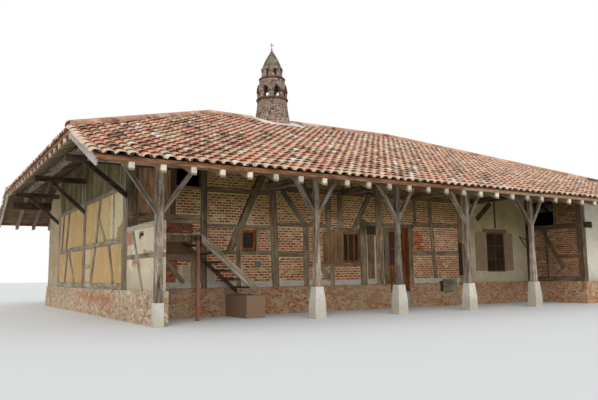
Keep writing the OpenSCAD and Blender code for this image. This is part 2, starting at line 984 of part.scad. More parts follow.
module verge_band() {
    intersection() {
        roof_layer(rafter_drop, rafter_drop + barge_h);
        linear_extrude(ridge_z)
            for (s = [-1, 1])
                plan_box(-roof_l / 2, s > 0 ? verge_y : -roof_w / 2 + fascia_t,
                         -roof_l / 2 + barge_t, s > 0 ? roof_w / 2 - fascia_t : -verge_y);
    }
}

module eave_boards() {
    color(dark_wood) {
        fascia_band();
        verge_band();
    }
}

// Distance from the left end of the roof to its first rafter
rafter_start = 660;

module rafter_plan() {
    nx = floor((roof_l - 2 * rafter_start + 300) / rafter_gap);
    ny = floor((roof_w - 700) / rafter_gap);
    rb = ridge_beam_w / 2;
    difference() {
        union() {
            for (i = [0 : nx])
                let (x = -roof_l / 2 + rafter_start + i * rafter_gap)
                    for (s = [-1, 1])
                        intersection() {
                            plan_box(x - rafter_w / 2, s > 0 ? rb : -roof_w / 2,
                                     x + rafter_w / 2, s > 0 ? roof_w / 2 : -rb);
                            polygon(s > 0 ? back_plan : front_plan);
                        }
            for (i = [0 : ny])
                let (y = (i - ny / 2) * rafter_gap)
                    for (s = [-1, 1])
                        intersection() {
                            plan_box(s > 0 ? ridge_right + 60 : -roof_l / 2, y - rafter_w / 2,
                                     s > 0 ? roof_l / 2 : ridge_left - 60, y + rafter_w / 2);
                            polygon(s > 0 ? right_plan : left_plan);
                        }
        }
        hip_lines(ridge_beam_w + 0.6);
        flue_ring(0.3);
    }
}

module rafters() {
    color(wood) difference() {
        intersection() {
            roof_layer(rafter_drop, frame_drop);
            linear_extrude(ridge_z) rafter_plan();
        }
        fascia_band();
        verge_band();
    }
}

module deck(points) {
    color(tile) intersection() {
        roof_layer(deck_drop, rafter_drop);
        linear_extrude(ridge_z) difference() {
            polygon(points);
            translate([tower_x, 0]) square(flue_w, center = true);
        }
    }
}

module roof_front() {
    deck(front_plan);
}

module roof_back() {
    deck(back_plan);
}

module roof_left() {
    deck(left_plan);
}

module roof_right() {
    deck(right_plan);
}

// A rounded capping from one plan point to another
module cap(a, b) {
    d = b - a;
    run = norm([d[0], d[1]]);
    translate(a)
        rotate([0, 0, atan2(d[1], d[0])])
            rotate([0, 90 - atan2(d[2], run), 0])
                cylinder(r = cap_r, h = norm(d), $fn = 12);
}

module ridge_capping() {
    lift = 50;
    flash = tower_r + 130;
    top = ridge_z - deck_drop + lift;
    left_low = left_eave_z - deck_drop + lift;
    right_low = eave_z - deck_drop + lift;
    color(tile) difference() {
        intersection() {
            union() {
                cap([ridge_left, 0, top], [tower_x - flash, 0, top]);
                cap([tower_x + flash, 0, top], [ridge_right, 0, top]);
                for (s = [-1, 1]) {
                    cap([-roof_l / 2, s * verge_y, left_low], [ridge_left, 0, top]);
                    cap([roof_l / 2, s * roof_w / 2, right_low], [ridge_right, 0, top]);
                }
            }
            linear_extrude(2 * ridge_z) square([roof_l, roof_w], center = true);
        }
        roof_envelope(deck_drop, 50);
    }
}

// Stair and landing

string_low = [stair_foot - 70, stair_base_z + 170];
string_high = [stair_head, landing_z - 90];

// The outline of a string: the wall-side one is thinner and lies lower
module string_outline(depth, drop) {
    d = string_high - string_low;
    u = d / norm(d) * 300;
    intersection() {
        bar(string_low[0] - u[0], string_low[1] - u[1] - drop,
            string_high[0] + u[0], string_high[1] + u[1] - drop, depth);
        rail(stair_head, stair_base_z, stair_foot - 50, landing_z);
    }
}

module tread_outlines() {
    rise = (landing_z - stair_base_z) / (treads + 1);
    for (i = [1 : treads]) {
        z = stair_base_z + i * rise;
        t = (z - string_low[1]) / (string_high[1] - string_low[1]);
        x = string_low[0] + t * (string_high[0] - string_low[0]);
        rail(max(x - 105, stair_head), z - tread_t, x + 105, z);
    }
}

module stair() {
    color(wood)
        translate([left_x, 0, 0])
            rotate([90, 0, 0]) {
                translate([0, 0, -stair_y - string_t])
                    linear_extrude(string_t) string_outline(string_h, 0);
                translate([0, 0, -stair_y - stair_w])
                    linear_extrude(string_t) string_outline(string_h / 2, 60);
                translate([0, 0, -stair_y - stair_w + string_t / 2])
                    linear_extrude(stair_w - string_t)
                        tread_outlines();
            }
}

module landing() {
    x1 = left_x + low_wall_t;
    x2 = left_x + stair_head;
    color(dark_wood) {
        block([x1, stair_y, landing_z - 50], [x2 - x1, wall_y - stair_y, 50]);
        block([x1, stair_y + 60, landing_z - 190], [x2 - x1, 90, 141]);
        block([x2 - 140, stair_y - 50, 0], [75, 75, landing_z + 90]);
    }
}

// Windows, shutters and the loft hatch

module frame_outline(o, w, mullions, bars) {
    difference() {
        hole(o);
        translate([o[0] + w, o[1] + w]) square([o[2] - 2 * w, o[3] - 2 * w]);
    }
    for (i = [1 : 1 : mullions])
        translate([o[0] + i * o[2] / (mullions + 1) - 22, o[1]]) square([44, o[3]]);
    for (i = [1 : 1 : bars])
        translate([o[0], o[1] + i * o[3] / (bars + 1) - 15]) square([o[2], 30]);
}

module window_outlines() {
    frame_outline(small_window, 75, 0, 0);
    frame_outline(barred_window, 55, 2, 0);
    frame_outline(long_window, 60, 1, 2);
}

module window_frames() {
    color("#b0662c") in_front_wall(40, 95) window_outlines();
}

module window_glass() {
    color("#26313a") in_front_wall(64, 70) difference() {
        union() {
            hole(small_window);
            hole(barred_window);
            hole(long_window);
        }
        window_outlines();
    }
}

module shutters() {
    b = barred_window;
    w = long_window;
    color(dark_wood) {
        in_front_wall(-32, 0) {
            rail(b[0] - 680, b[1] - 20, b[0] - 40, b[1] + b[3] - 20);
            rail(w[0] - 530, w[1] + 30, w[0] - 8, w[1] + w[3] - 20);
            rail(w[0] + w[2] + 8, w[1] + 30, w[0] + w[2] + 360, w[1] + w[3] - 20);
        }
        in_front_wall(30, 75) hole(loft_hatch);
    }
}

// Main door, hinged on its left side and opening into the house

leaf_z = floor_z + leaf_gap;
leaf_h = door_top - leaf_gap - leaf_z;
leaf_w = door_w - leaf_gap;
leaf_face = frame_t;
hinge_zs = [leaf_z + 330, leaf_z + leaf_h - 330];
axis_x = left_x + door_x;
axis_y = wall_y + frame_t + hinge_off;
eye_r = pin_r + 6;
eye_h = 60;

module glass_outline() {
    z1 = leaf_z + door_panel_h;
    x1 = door_x + leaf_gap + stile_w;
    w = leaf_w - leaf_gap - 2 * stile_w;
    h = leaf_h - door_panel_h - stile_w;
    difference() {
        rail(x1, z1, x1 + w, z1 + h);
        rail(x1 + w / 2 - 16, z1, x1 + w / 2 + 16, z1 + h);
        rail(x1, z1 + h / 2 - 16, x1 + w, z1 + h / 2 + 16);
    }
}

module main_door() {
    x1 = door_x + leaf_gap;
    w = leaf_w - leaf_gap;
    color("#a5652e") difference() {
        in_front_wall(leaf_face - leaf_t, leaf_face) difference() {
            rail(x1, leaf_z, x1 + w, leaf_z + leaf_h);
            glass_outline();
        }
        for (y = [leaf_face - leaf_t - eps, leaf_face - 10])
            in_front_wall(y, y + 10 + eps)
                rail(x1 + stile_w, leaf_z + 140, x1 + w - stile_w,
                     leaf_z + door_panel_h - 90);
    }
}

module door_glass() {
    mid = leaf_face - leaf_t / 2;
    color("#26313a") in_front_wall(mid - 3, mid + 3) glass_outline();
}

module door_straps() {
    color(iron)
        for (z = hinge_zs)
            translate([axis_x, axis_y, z])
                difference() {
                    union() {
                        cylinder(r = eye_r, h = eye_h, $fn = 48);
                        block([leaf_gap, -hinge_off, 10], [320, 5, eye_h - 20]);
                        block([5, -hinge_off, 10], [leaf_gap + 5, hinge_off, eye_h - 20]);
                    }
                    translate([0, 0, -eps])
                        cylinder(r = pin_r + pin_clear, h = eye_h + 2 * eps, $fn = 48);
                }
}

module hinge_pins() {
    color(iron)
        for (z = hinge_zs)
            translate([axis_x, axis_y, z - 30]) {
                cylinder(r = pin_r, h = eye_h + 45, $fn = 48);
                cylinder(r = eye_r, h = 30 - pin_clear, $fn = 48);
                block([-90, -hinge_off, 0], [90, hinge_off + eye_r, 30 - pin_clear]);
            }
}

// Chimney tower

base_low = ridge_z - deck_drop - pitch * tower_r - 100;

// Radius of the flared base at a height
function base_r(z) =
    let (t = (z - base_low) / (ring1_z - base_low))
        neck_r + (tower_r + 30 - neck_r) * pow(1 - t, 1.5);

base_steps = 6;
base_levels = [for (i = [0 : base_steps]) base_low + i * (ring1_z - base_low) / base_steps];

module base_form(inset) {
    rotate_extrude($fn = 96)
        polygon(concat(
            [[0, base_low]],
            [for (z = base_levels) [base_r(z) - inset, z]],
            [[0, ring1_z]]
        ));
}

module chimney_base() {
    color(brick) translate([tower_x, 0, 0]) difference() {
        base_form(0);
        base_form(tower_wall);
        translate([0, 0, ring1_z - 100])
            cylinder(r = neck_r - tower_wall, h = 200, $fn = 96);
        translate([0, 0, base_low - 50])
            cylinder(r = base_r(base_low) - tower_wall, h = 60, $fn = 96);
        translate([-tower_x, 0, 0]) roof_envelope(deck_drop, 50);
    }
}

module chimney_flashing() {
    s = 2 * tower_r + 260;
    color(mortar) difference() {
        intersection() {
            roof_layer(-20, deck_drop);
            linear_extrude(2 * ridge_z)
                translate([tower_x, 0]) square(s, center = true);
        }
        translate([tower_x, 0, 0]) base_form(0);
        translate([tower_x, 0, ridge_z - deck_drop - 600])
            cylinder(r = neck_r, h = 1200, $fn = 96);
    }
}

module tower_ring(r, inner, z) {
    translate([0, 0, z])
        rotate_extrude($fn = 96) {
            translate([inner, 0]) square([r - ring_h / 2 - inner, ring_h]);
            translate([r - ring_h / 2, ring_h / 2]) circle(d = ring_h, $fn = 32);
        }
}

module chimney_rings() {
    color(brick) translate([tower_x, 0, 0]) {
        tower_ring(ring1_r, neck_r - tower_wall, ring1_z);
        tower_ring(ring2_r, arcade_top_r - tower_wall, ring2_z);
    }
}

// A pointed arch: width, height, with its foot on the axis
module pointed_arch(w, h) {
    spring = h - w * sin(60);
    translate([-w / 2, 0]) square([w, spring]);
    intersection() {
        translate([-w / 2, spring]) circle(r = w, $fn = 64);
        translate([w / 2, spring]) circle(r = w, $fn = 64);
        translate([-w / 2, spring - eps]) square([w, w + eps]);
    }
}

// An outline set up on the tower, facing out, between two radii
module radial(r1, r2) {
    rotate([90, 0, 90])
        translate([0, 0, r1])
            linear_extrude(r2 - r1)
                children();
}

column_r = 34;
capital_r = 58;
capital_z = 250;
hood_w = 38;

module chimney_arcade() {
    z1 = ring1_z + ring_h;
    color(brick) translate([tower_x, 0, z1]) difference() {
        union() {
            rotate_extrude($fn = 96)
                polygon([
                    [arcade_r - tower_wall, 0], [arcade_r, 0],
                    [arcade_top_r, arcade_h], [arcade_top_r - tower_wall, arcade_h]
                ]);
            for (i = [0 : arches - 1]) {
                rotate([0, 0, arch_turn + i * 360 / arches])
                    radial(arcade_top_r - 60, arcade_r + 12)
                        difference() {
                            translate([0, 20]) pointed_arch(arch_w + 2 * hood_w, arch_h + 60);
                            square([arch_w + 3 * hood_w, 2 * capital_z - 60], center = true);
                        }
                rotate([0, 0, arch_turn + (i + 0.5) * 360 / arches])
                    translate([arcade_r - 22, 0, 0]) {
                        cylinder(r = column_r, h = capital_z, $fn = 32);
                        translate([0, 0, capital_z])
                            cylinder(r = capital_r, h = 55, $fn = 32);
                    }
            }
        }
        for (i = [0 : arches - 1])
            rotate([0, 0, arch_turn + i * 360 / arches])
                radial(200, arcade_r + 200)
                    translate([0, 25]) pointed_arch(arch_w, arch_h);
    }
}

lantern_top_r = lantern_r - 35;

module chimney_lantern() {
    slit_z = 60;
    color(brick) translate([tower_x, 0, lantern_z]) difference() {
        union() {
            rotate_extrude($fn = 96)
                polygon([
                    [lantern_r - tower_wall, 0], [lantern_r, 0],
                    [lantern_top_r, lantern_h - 70], [spire_r, lantern_h],
                    [lantern_top_r - tower_wall - 30, lantern_h]
                ]);
            for (i = [0 : arches - 1])
                rotate([0, 0, arch_turn + i * 360 / arches])
                    radial(lantern_r - 90, lantern_r + 10)
                        translate([0, slit_z + slit_h - 20])
                            polygon([
                                [-75, 0], [75, 0], [75, 30], [0, 95], [-75, 30]
                            ]);
        }
        for (i = [0 : arches - 1])
            rotate([0, 0, arch_turn + i * 360 / arches])
                radial(150, lantern_r + 200)
                    translate([0, slit_z]) pointed_arch(slit_w, slit_h);
    }
}

spire_steps = 8;

module chimney_spire() {
    color(mortar) translate([tower_x, 0, spire_z])
        rotate_extrude($fn = 96)
            polygon(concat(
                [[0, 0]],
                [for (i = [0 : spire_steps])
                    let (t = i / spire_steps)
                        [max(spire_r * (1 - pow(t, 1.4)), 14), t * spire_h]],
                [[0, spire_h]]
            ));
}

module chimney_cross() {
    color(iron) translate([tower_x, 0, spire_z + spire_h]) {
        cylinder(r = 11, h = cross_h, $fn = 24);
        translate([0, 0, 30]) sphere(r = 30, $fn = 32);
        translate([-95, 0, cross_h * 0.64])
            rotate([0, 90, 0]) cylinder(r = 10, h = 190, $fn = 24);
    }
}

plinth_left();
plinth_front();
plinth_back();
plinth_right();
door_step();
ground_floor();
front_frame_left();
front_frame_right();
front_beams();
front_infill();
plaster_wall();
plaster_wall_timbers();
left_frame();
left_infill();
left_boards();
corner_pier();
low_wall();
low_wall_timbers();
return_frame();
return_infill();
block_front_wall();
right_frame();
right_infill();
back_frame();
back_infill();
gallery_stones();
gallery_posts();
gallery_braces();
gallery_plate();
gallery_ties();
roof_trusses();
eave_brackets();
eave_purlin();
rafters();
ridge_and_hips();
roof_front();
roof_back();
roof_left();
roof_right();
eave_boards();
ridge_capping();
stair();
landing();
shutters();
window_frames();
window_glass();
hinge_pins();
main_door();
door_glass();
door_straps();
chimney_flashing();
chimney_base();
chimney_rings();
chimney_arcade();
chimney_lantern();
chimney_spire();
chimney_cross();
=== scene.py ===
"""Farmhouse with a chimney tower: the looks of its pieces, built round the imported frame."""

import logging
import math
import random
from dataclasses import dataclass, field
from enum import Enum
from typing import Iterable, Optional, Sequence

import bmesh
import bpy
import numpy as np
from mathutils import Matrix, Vector, noise


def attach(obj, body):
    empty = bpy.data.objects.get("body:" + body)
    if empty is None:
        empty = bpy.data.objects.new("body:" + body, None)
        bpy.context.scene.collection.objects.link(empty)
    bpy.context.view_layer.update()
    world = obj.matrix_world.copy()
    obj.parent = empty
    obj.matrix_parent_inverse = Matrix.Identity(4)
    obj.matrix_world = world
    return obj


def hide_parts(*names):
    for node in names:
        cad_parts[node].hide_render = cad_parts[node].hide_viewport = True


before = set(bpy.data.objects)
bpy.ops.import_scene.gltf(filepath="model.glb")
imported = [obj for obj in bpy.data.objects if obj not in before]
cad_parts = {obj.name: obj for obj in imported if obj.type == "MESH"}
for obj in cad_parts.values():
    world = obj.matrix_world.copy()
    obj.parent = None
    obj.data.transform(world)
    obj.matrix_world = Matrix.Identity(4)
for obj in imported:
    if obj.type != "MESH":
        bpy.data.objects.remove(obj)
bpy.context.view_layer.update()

log = logging.getLogger("farmhouse")
Colour = tuple[float, float, float]
Point = tuple[float, float]

# Left, bottom, right and top on a wall's face, in millimetres
Box = tuple[float, float, float, float]

# Both ends and the width of a leaning timber on a wall's face, in millimetres
Brace = tuple[float, float, float, float, float]

# Places and tones of the copies of one shape
Laid = tuple[list[Matrix], list[float]]

# Main lines of the building, in metres
ROOF_X, ROOF_Y = 10.8, 8.09
PITCH = 0.41
EAVE_Z, LEFT_EAVE_Z, RIDGE_Z = 3.37, 4.366, 6.687
RIDGE_LEFT, RIDGE_RIGHT = -5.139, 2.71
VERGE_Y = 5.66
TILE_LAYER, DECK, RAFTER = 0.11, 0.03, 0.22
LEFT_X, RIGHT_X, POST_Y, WALL_Y, BACK_Y = -9.203, 9.397, -6.907, -4.549, 6.091
BLOCK_X, BLOCK_Y = 5.277, -6.807
TOWER_X = -2.67
WALL_T = 0.18

# How far a rail's end stays inside its corner post, in millimetres
TUCK = 14


def tone(red: int, green: int, blue: int) -> Colour:
    """A linear colour from its 8-bit screen values."""
    return tuple(((c / 255 + 0.055) / 1.055) ** 2.4 for c in (red, green, blue))


def shaded(colour: Colour, share: float) -> Colour:
    """A darker kind of a linear colour."""
    return tuple(c * share for c in colour)


class Grain(Enum):
    """Where a wood finish takes the run of its grain from."""

    UV = "uv"
    ALONG_X = "x"
    ALONG_Y = "y"

    def stretch(self, ratio: float = 12.0) -> Colour:
        """The scale that draws a pattern out along the grain."""
        return (ratio, 1.0, ratio) if self is Grain.ALONG_Y else (1.0, ratio, ratio)


class Graph:
    """A material's node graph while it is wired."""

    def __init__(self, name: str) -> None:
        """Starts a material with one shader and its output.

        Args:
            name: Name of the material.
        """
        self.material = bpy.data.materials.new(name)
        self.material.use_nodes = True
        self.tree = self.material.node_tree
        self.tree.nodes.clear()
        self.shader = self.add("ShaderNodeBsdfPrincipled")
        out = self.add("ShaderNodeOutputMaterial")
        self.tree.links.new(self.shader.outputs["BSDF"], out.inputs["Surface"])

    def add(self, kind: str, **settings: object) -> bpy.types.Node:
        """Adds a node and sets its plain properties.

        Args:
            kind: Blender's name for the kind of node.
            **settings: Properties to set on it.

        Returns:
            The new node.
        """
        node = self.tree.nodes.new(kind)
        for key, value in settings.items():
            setattr(node, key, value)
        return node

    def feed(self, target: bpy.types.NodeSocket, source: object) -> None:
        """Links a socket to a target, or writes a plain value on it.

        Args:
            target: Input to fill.
            source: Socket, number, vector or colour.
        """
        if isinstance(source, bpy.types.NodeSocket):
            self.tree.links.new(source, target)
        elif isinstance(source, tuple) and len(source) == 3 and target.type == "RGBA":
            target.default_value = (*source, 1.0)
        else:
            target.default_value = source

    def coords(self, grain: Optional[Grain] = None) -> bpy.types.NodeSocket:
        """Object coordinates, or the piece's own UV map.

        Args:
            grain: Grain whose place is wanted, or None for object coordinates.

        Returns:
            The vector socket.
        """
        if grain is Grain.UV:
            return self.add("ShaderNodeUVMap", uv_map="grain").outputs["UV"]
        return self.add("ShaderNodeTexCoord").outputs["Object"]

    def mapped(self, vector: object, scale: Colour, place: Colour = (0, 0, 0)) -> bpy.types.NodeSocket:
        """A vector scaled and moved by a Mapping node.

        Args:
            vector: Vector to change.
            scale: Factors on its three parts.
            place: What is added to it.

        Returns:
            The new vector socket.
        """
        node = self.add("ShaderNodeMapping")
        self.feed(node.inputs["Vector"], vector)
        node.inputs["Scale"].default_value = scale
        node.inputs["Location"].default_value = place
        return node.outputs["Vector"]

    def noise(self, vector: object, scale: float, detail: float = 4, rough: float = 0.55,
              warp: float = 0.0) -> bpy.types.NodeSocket:
        """Fractal noise, 0 to 1.

        Args:
            vector: Place that it is read at.
            scale: How many waves go to a metre.
            detail: How many finer layers are added.
            rough: Weight of the finer layers.
            warp: How far the pattern bends itself.

        Returns:
            The value socket.
        """
        node = self.add("ShaderNodeTexNoise")
        self.feed(node.inputs["Vector"], vector)
        for key, value in (("Scale", scale), ("Detail", detail), ("Roughness", rough), ("Distortion", warp)):
            node.inputs[key].default_value = value
        return node.outputs["Fac"]

    def cells(self, vector: object, scale: float, feature: str = "F1") -> bpy.types.Node:
        """A pattern of cells.

        Args:
            vector: Place that it is read at.
            scale: How many cells go to a metre.
            feature: Which measure of the cells the node gives.

        Returns:
            The Voronoi node.
        """
        node = self.add("ShaderNodeTexVoronoi", feature=feature)
        self.feed(node.inputs["Vector"], vector)
        node.inputs["Scale"].default_value = scale
        return node

    def maths(self, operation: str, a: object, b: object = 0.0) -> bpy.types.NodeSocket:
        """One step of arithmetic.

        Args:
            operation: Name of the step.
            a: First value.
            b: Second value, where the step takes one.

        Returns:
            The result's socket.
        """
        node = self.add("ShaderNodeMath", operation=operation)
        self.feed(node.inputs[0], a)
        self.feed(node.inputs[1], b)
        return node.outputs[0]

    def spread(self, value: object, low: float, high: float, to_low: float = 0.0,
               to_high: float = 1.0) -> bpy.types.NodeSocket:
        """Maps a range to another range, clamped.

        Args:
            value: Value to map.
            low: Start of the range it comes from.
            high: End of that range.
            to_low: What the start becomes.
            to_high: What the end becomes.

        Returns:
            The mapped value's socket.
        """
        node = self.add("ShaderNodeMapRange")
        self.feed(node.inputs["Value"], value)
        for key, number in (("From Min", low), ("From Max", high), ("To Min", to_low), ("To Max", to_high)):
            node.inputs[key].default_value = number
        return node.outputs["Result"]

    def ramp(self, value: object, stops: Sequence[tuple[float, Colour]]) -> bpy.types.NodeSocket:
        """A colour ramp.

        Args:
            value: Place on the ramp, 0 to 1.
            stops: Place and colour of each stop, in order.

        Returns:
            The colour socket.
        """
        node = self.add("ShaderNodeValToRGB")
        elements = node.color_ramp.elements
        while len(elements) < len(stops):
            elements.new(0.5)
        for element, (at, colour) in zip(elements, stops):
            element.position = at
            element.color = (*colour, 1.0)
        self.feed(node.inputs["Fac"], value)
        return node.outputs["Color"]

    def mix(self, fac: object, a: object, b: object, blend: str = "MIX") -> bpy.types.NodeSocket:
        """Mixes two colours.

        Args:
            fac: Share of the second colour.
            a: First colour.
            b: Second colour.
            blend: How the second is laid over the first.

        Returns:
            The colour socket.
        """
        node = self.add("ShaderNodeMix", data_type="RGBA", blend_type=blend)
        self.feed(node.inputs["Factor"], fac)
        self.feed(node.inputs[6], a)
        self.feed(node.inputs[7], b)
        return node.outputs[2]

    def attribute(self, name: str) -> bpy.types.NodeSocket:
        """A value stored on the piece's faces."""
        return self.add("ShaderNodeAttribute", attribute_name=name).outputs["Fac"]

    def axis(self, vector: object, letter: str) -> bpy.types.NodeSocket:
        """One part of a vector.

        Args:
            vector: Vector to split.
            letter: Axis of the part, "X", "Y" or "Z".

        Returns:
            The part's socket.
        """
        node = self.add("ShaderNodeSeparateXYZ")
        self.feed(node.inputs[0], vector)
        return node.outputs[letter]

    def patched(self, place: object, colour: object, patches: "Sequence[Patch]") -> bpy.types.NodeSocket:
        """Paints ragged spots over a colour.

        Args:
            place: Object coordinates.
            colour: Colour below the spots.
            patches: The spots, later ones on top.

        Returns:
            The painted colour's socket.
        """
        if not patches:
            return colour
        wander = self.noise(place, 4.0, 6, 0.7)
        grain = self.noise(place, 19.0, 4, 0.7)
        for patch in patches:
            across = self.within(place, patch.letter, patch.low[0], patch.high[0])
            upright = self.within(place, "Z", patch.low[1], patch.high[1])
            inside = self.maths("MINIMUM", across, upright)
            rim = self.maths("MULTIPLY", self.maths("SUBTRACT", wander, 0.5), patch.ragged * 4)
            mask = self.spread(self.maths("ADD", inside, rim), -0.02, 0.03)
            mottle = self.spread(grain, 0.40, 0.65, 0.0, 0.5)
            mottled = self.mix(mottle, patch.colour, shaded(patch.colour, 0.6))
            colour = self.mix(self.maths("MULTIPLY", mask, patch.share), colour, mottled)
        return colour

    def within(self, place: object, letter: str, low: float, high: float) -> bpy.types.NodeSocket:
        """How far a point lies inside a range, negative outside it.

        Args:
            place: Object coordinates.
            letter: Axis of the range.
            low: Start of the range.
            high: End of the range.

        Returns:
            The distance's socket.
        """
        off = self.maths("ABSOLUTE", self.maths("SUBTRACT", self.axis(place, letter), (low + high) / 2))
        return self.maths("SUBTRACT", (high - low) / 2, off)

    def shade_by_height(self, place: object, colour: object, painted_shade: "Optional[PaintedShade]") -> bpy.types.NodeSocket:
        """Paints shade over a colour, growing from one height to another.

        Args:
            place: Object coordinates.
            colour: Colour to darken.
            painted_shade: Where and how much, or None for not at all.

        Returns:
            The colour's socket.
        """
        if painted_shade is None:
            return colour
        # Painted shade: the colour darkens above a wandering height.
        wander = self.maths("MULTIPLY", self.noise(place, 1.6, 4, 0.6), 0.7)
        level = self.maths("ADD", self.axis(place, "Z"), wander)
        return self.mix(self.spread(level, painted_shade.start + 0.35, painted_shade.full + 0.35), colour,
                        self.mix(1.0, colour, painted_shade.tint, "MULTIPLY"))

    def finish(self, colour: object, rough: object, height: object = None, depth: float = 0.002,
               strength: float = 1.0) -> bpy.types.Material:
        """Wires colour, roughness and bump into the shader.

        Args:
            colour: Base colour socket or value.
            rough: Roughness socket or value.
            height: Height socket, 0 to 1, or None for no bump.
            depth: What a height of 1 stands for, in metres.
            strength: Strength of the bump.

        Returns:
            The finished material.
        """
        self.feed(self.shader.inputs["Base Color"], colour)
        self.feed(self.shader.inputs["Roughness"], rough)
        self.shader.inputs["Specular IOR Level"].default_value = 0.25
        if height is not None:
            bump = self.add("ShaderNodeBump")
            bump.inputs["Strength"].default_value = strength
            bump.inputs["Distance"].default_value = depth
            self.feed(bump.inputs["Height"], height)
            self.feed(self.shader.inputs["Normal"], bump.outputs["Normal"])
        return self.material


@dataclass(frozen=True)
class Patch:
    """A worn or mended spot on a wall face, or a painted shadow or highlight on it, in metres.

    Attributes:
        letter: Axis that runs along the wall, "X" or "Y".
        low: Place along the wall and height of the lower corner.
        high: The same for the upper corner.
        colour: Colour of the spot.
        share: How strongly it covers.
        ragged: How far its rim wanders.
    """

    letter: str
    low: Point
    high: Point
    colour: Colour
    share: float = 0.85
    ragged: float = 0.12


@dataclass(frozen=True)
class PaintedShade:
    """Painted shade that grows with height under a roof."""

    start: float
    full: float
    tint: Colour


@dataclass(frozen=True)
class TimberFinish:
    """Weathered oak, with grain, checks and greying."""

    name: str
    slot: str
    light: Colour
    base: Colour
    dark: Colour
    grain: Grain = Grain.UV
    rough: float = 0.85
    painted_shade: Optional[PaintedShade] = None
    patches: tuple[Patch, ...] = ()
    # Colour of the painted shade on rafters under the eaves.
    deep: Optional[Colour] = None

    def material(self) -> bpy.types.Material:
        """Builds the wood material.

        Returns:
            The material.
        """
        g = Graph(self.name)
        place = g.coords()
        run = g.mapped(g.coords(self.grain), self.grain.stretch())
        streaks = g.noise(run, 1.6, 6, 0.6, 0.3)
        fibres = g.noise(g.mapped(run, (2.0, 5.0, 5.0)), 3.0, 3, 0.6)
        colour = g.ramp(streaks, [(0.30, self.dark), (0.50, self.base), (0.68, self.light)])
        colour = g.mix(g.spread(fibres, 0.35, 0.65, 0.0, 0.45), colour, self.dark)
        patches = g.noise(place, 1.1, 5, 0.6)
        colour = g.mix(g.spread(patches, 0.48, 0.70, 0.0, 0.55), colour, self.light)
        ridge = g.maths("ABSOLUTE", g.maths("SUBTRACT", g.noise(run, 2.3, 2, 0.5, 0.6), 0.5))
        checks = g.spread(ridge, 0.0, 0.018, 1.0, 0.0)
        colour = g.patched(place, colour, self.patches)
        colour = g.mix(g.maths("MULTIPLY", checks, 0.75), colour, shaded(self.dark, 0.3))
        # Painted shade on the rafters' lengths under the eaves; the sawn ends stay pale.
        if self.deep:
            colour = g.mix(self.eave_shade_mask(g, place), colour, g.mix(streaks, self.dark, self.deep))
        shade = g.spread(g.attribute("shade"), 0.0, 1.0, 0.68, 1.28)
        colour = g.shade_by_height(place, g.mix(1.0, colour, shade, "MULTIPLY"), self.painted_shade)
        height = g.maths("SUBTRACT", g.maths("ADD", streaks, g.maths("MULTIPLY", fibres, 0.5)), checks)
        return g.finish(colour, self.rough, height, 0.004, 0.8)

    def eave_shade_mask(self, g: Graph, place: object) -> bpy.types.NodeSocket:
        """Tells a rafter's length in painted shade from its pale sawn end.

        Args:
            g: Graph that the nodes go to.
            place: Object coordinates.

        Returns:
            1 where the wood lies in from the eaves or low on the tail, 0 on the sawn ends.
        """
        x, depth = g.axis(place, "X"), g.maths("ABSOLUTE", g.axis(place, "Y"))
        sides = g.maths("ADD", g.maths("MULTIPLY", depth, -PITCH), EAVE_Z + PITCH * ROOF_Y)
        left = g.maths("ADD", g.maths("MULTIPLY", x, PITCH), LEFT_EAVE_Z + PITCH * ROOF_X)
        below = g.maths("SUBTRACT", g.maths("MINIMUM", sides, left), g.axis(place, "Z"))
        ends = g.maths("MAXIMUM", g.maths("SUBTRACT", depth, 8.035), g.maths("SUBTRACT", -10.745, x))
        return g.maths("MAXIMUM", g.spread(below, 0.305, 0.325), g.spread(ends, 0.0, 0.015, 1.0, 0.0))


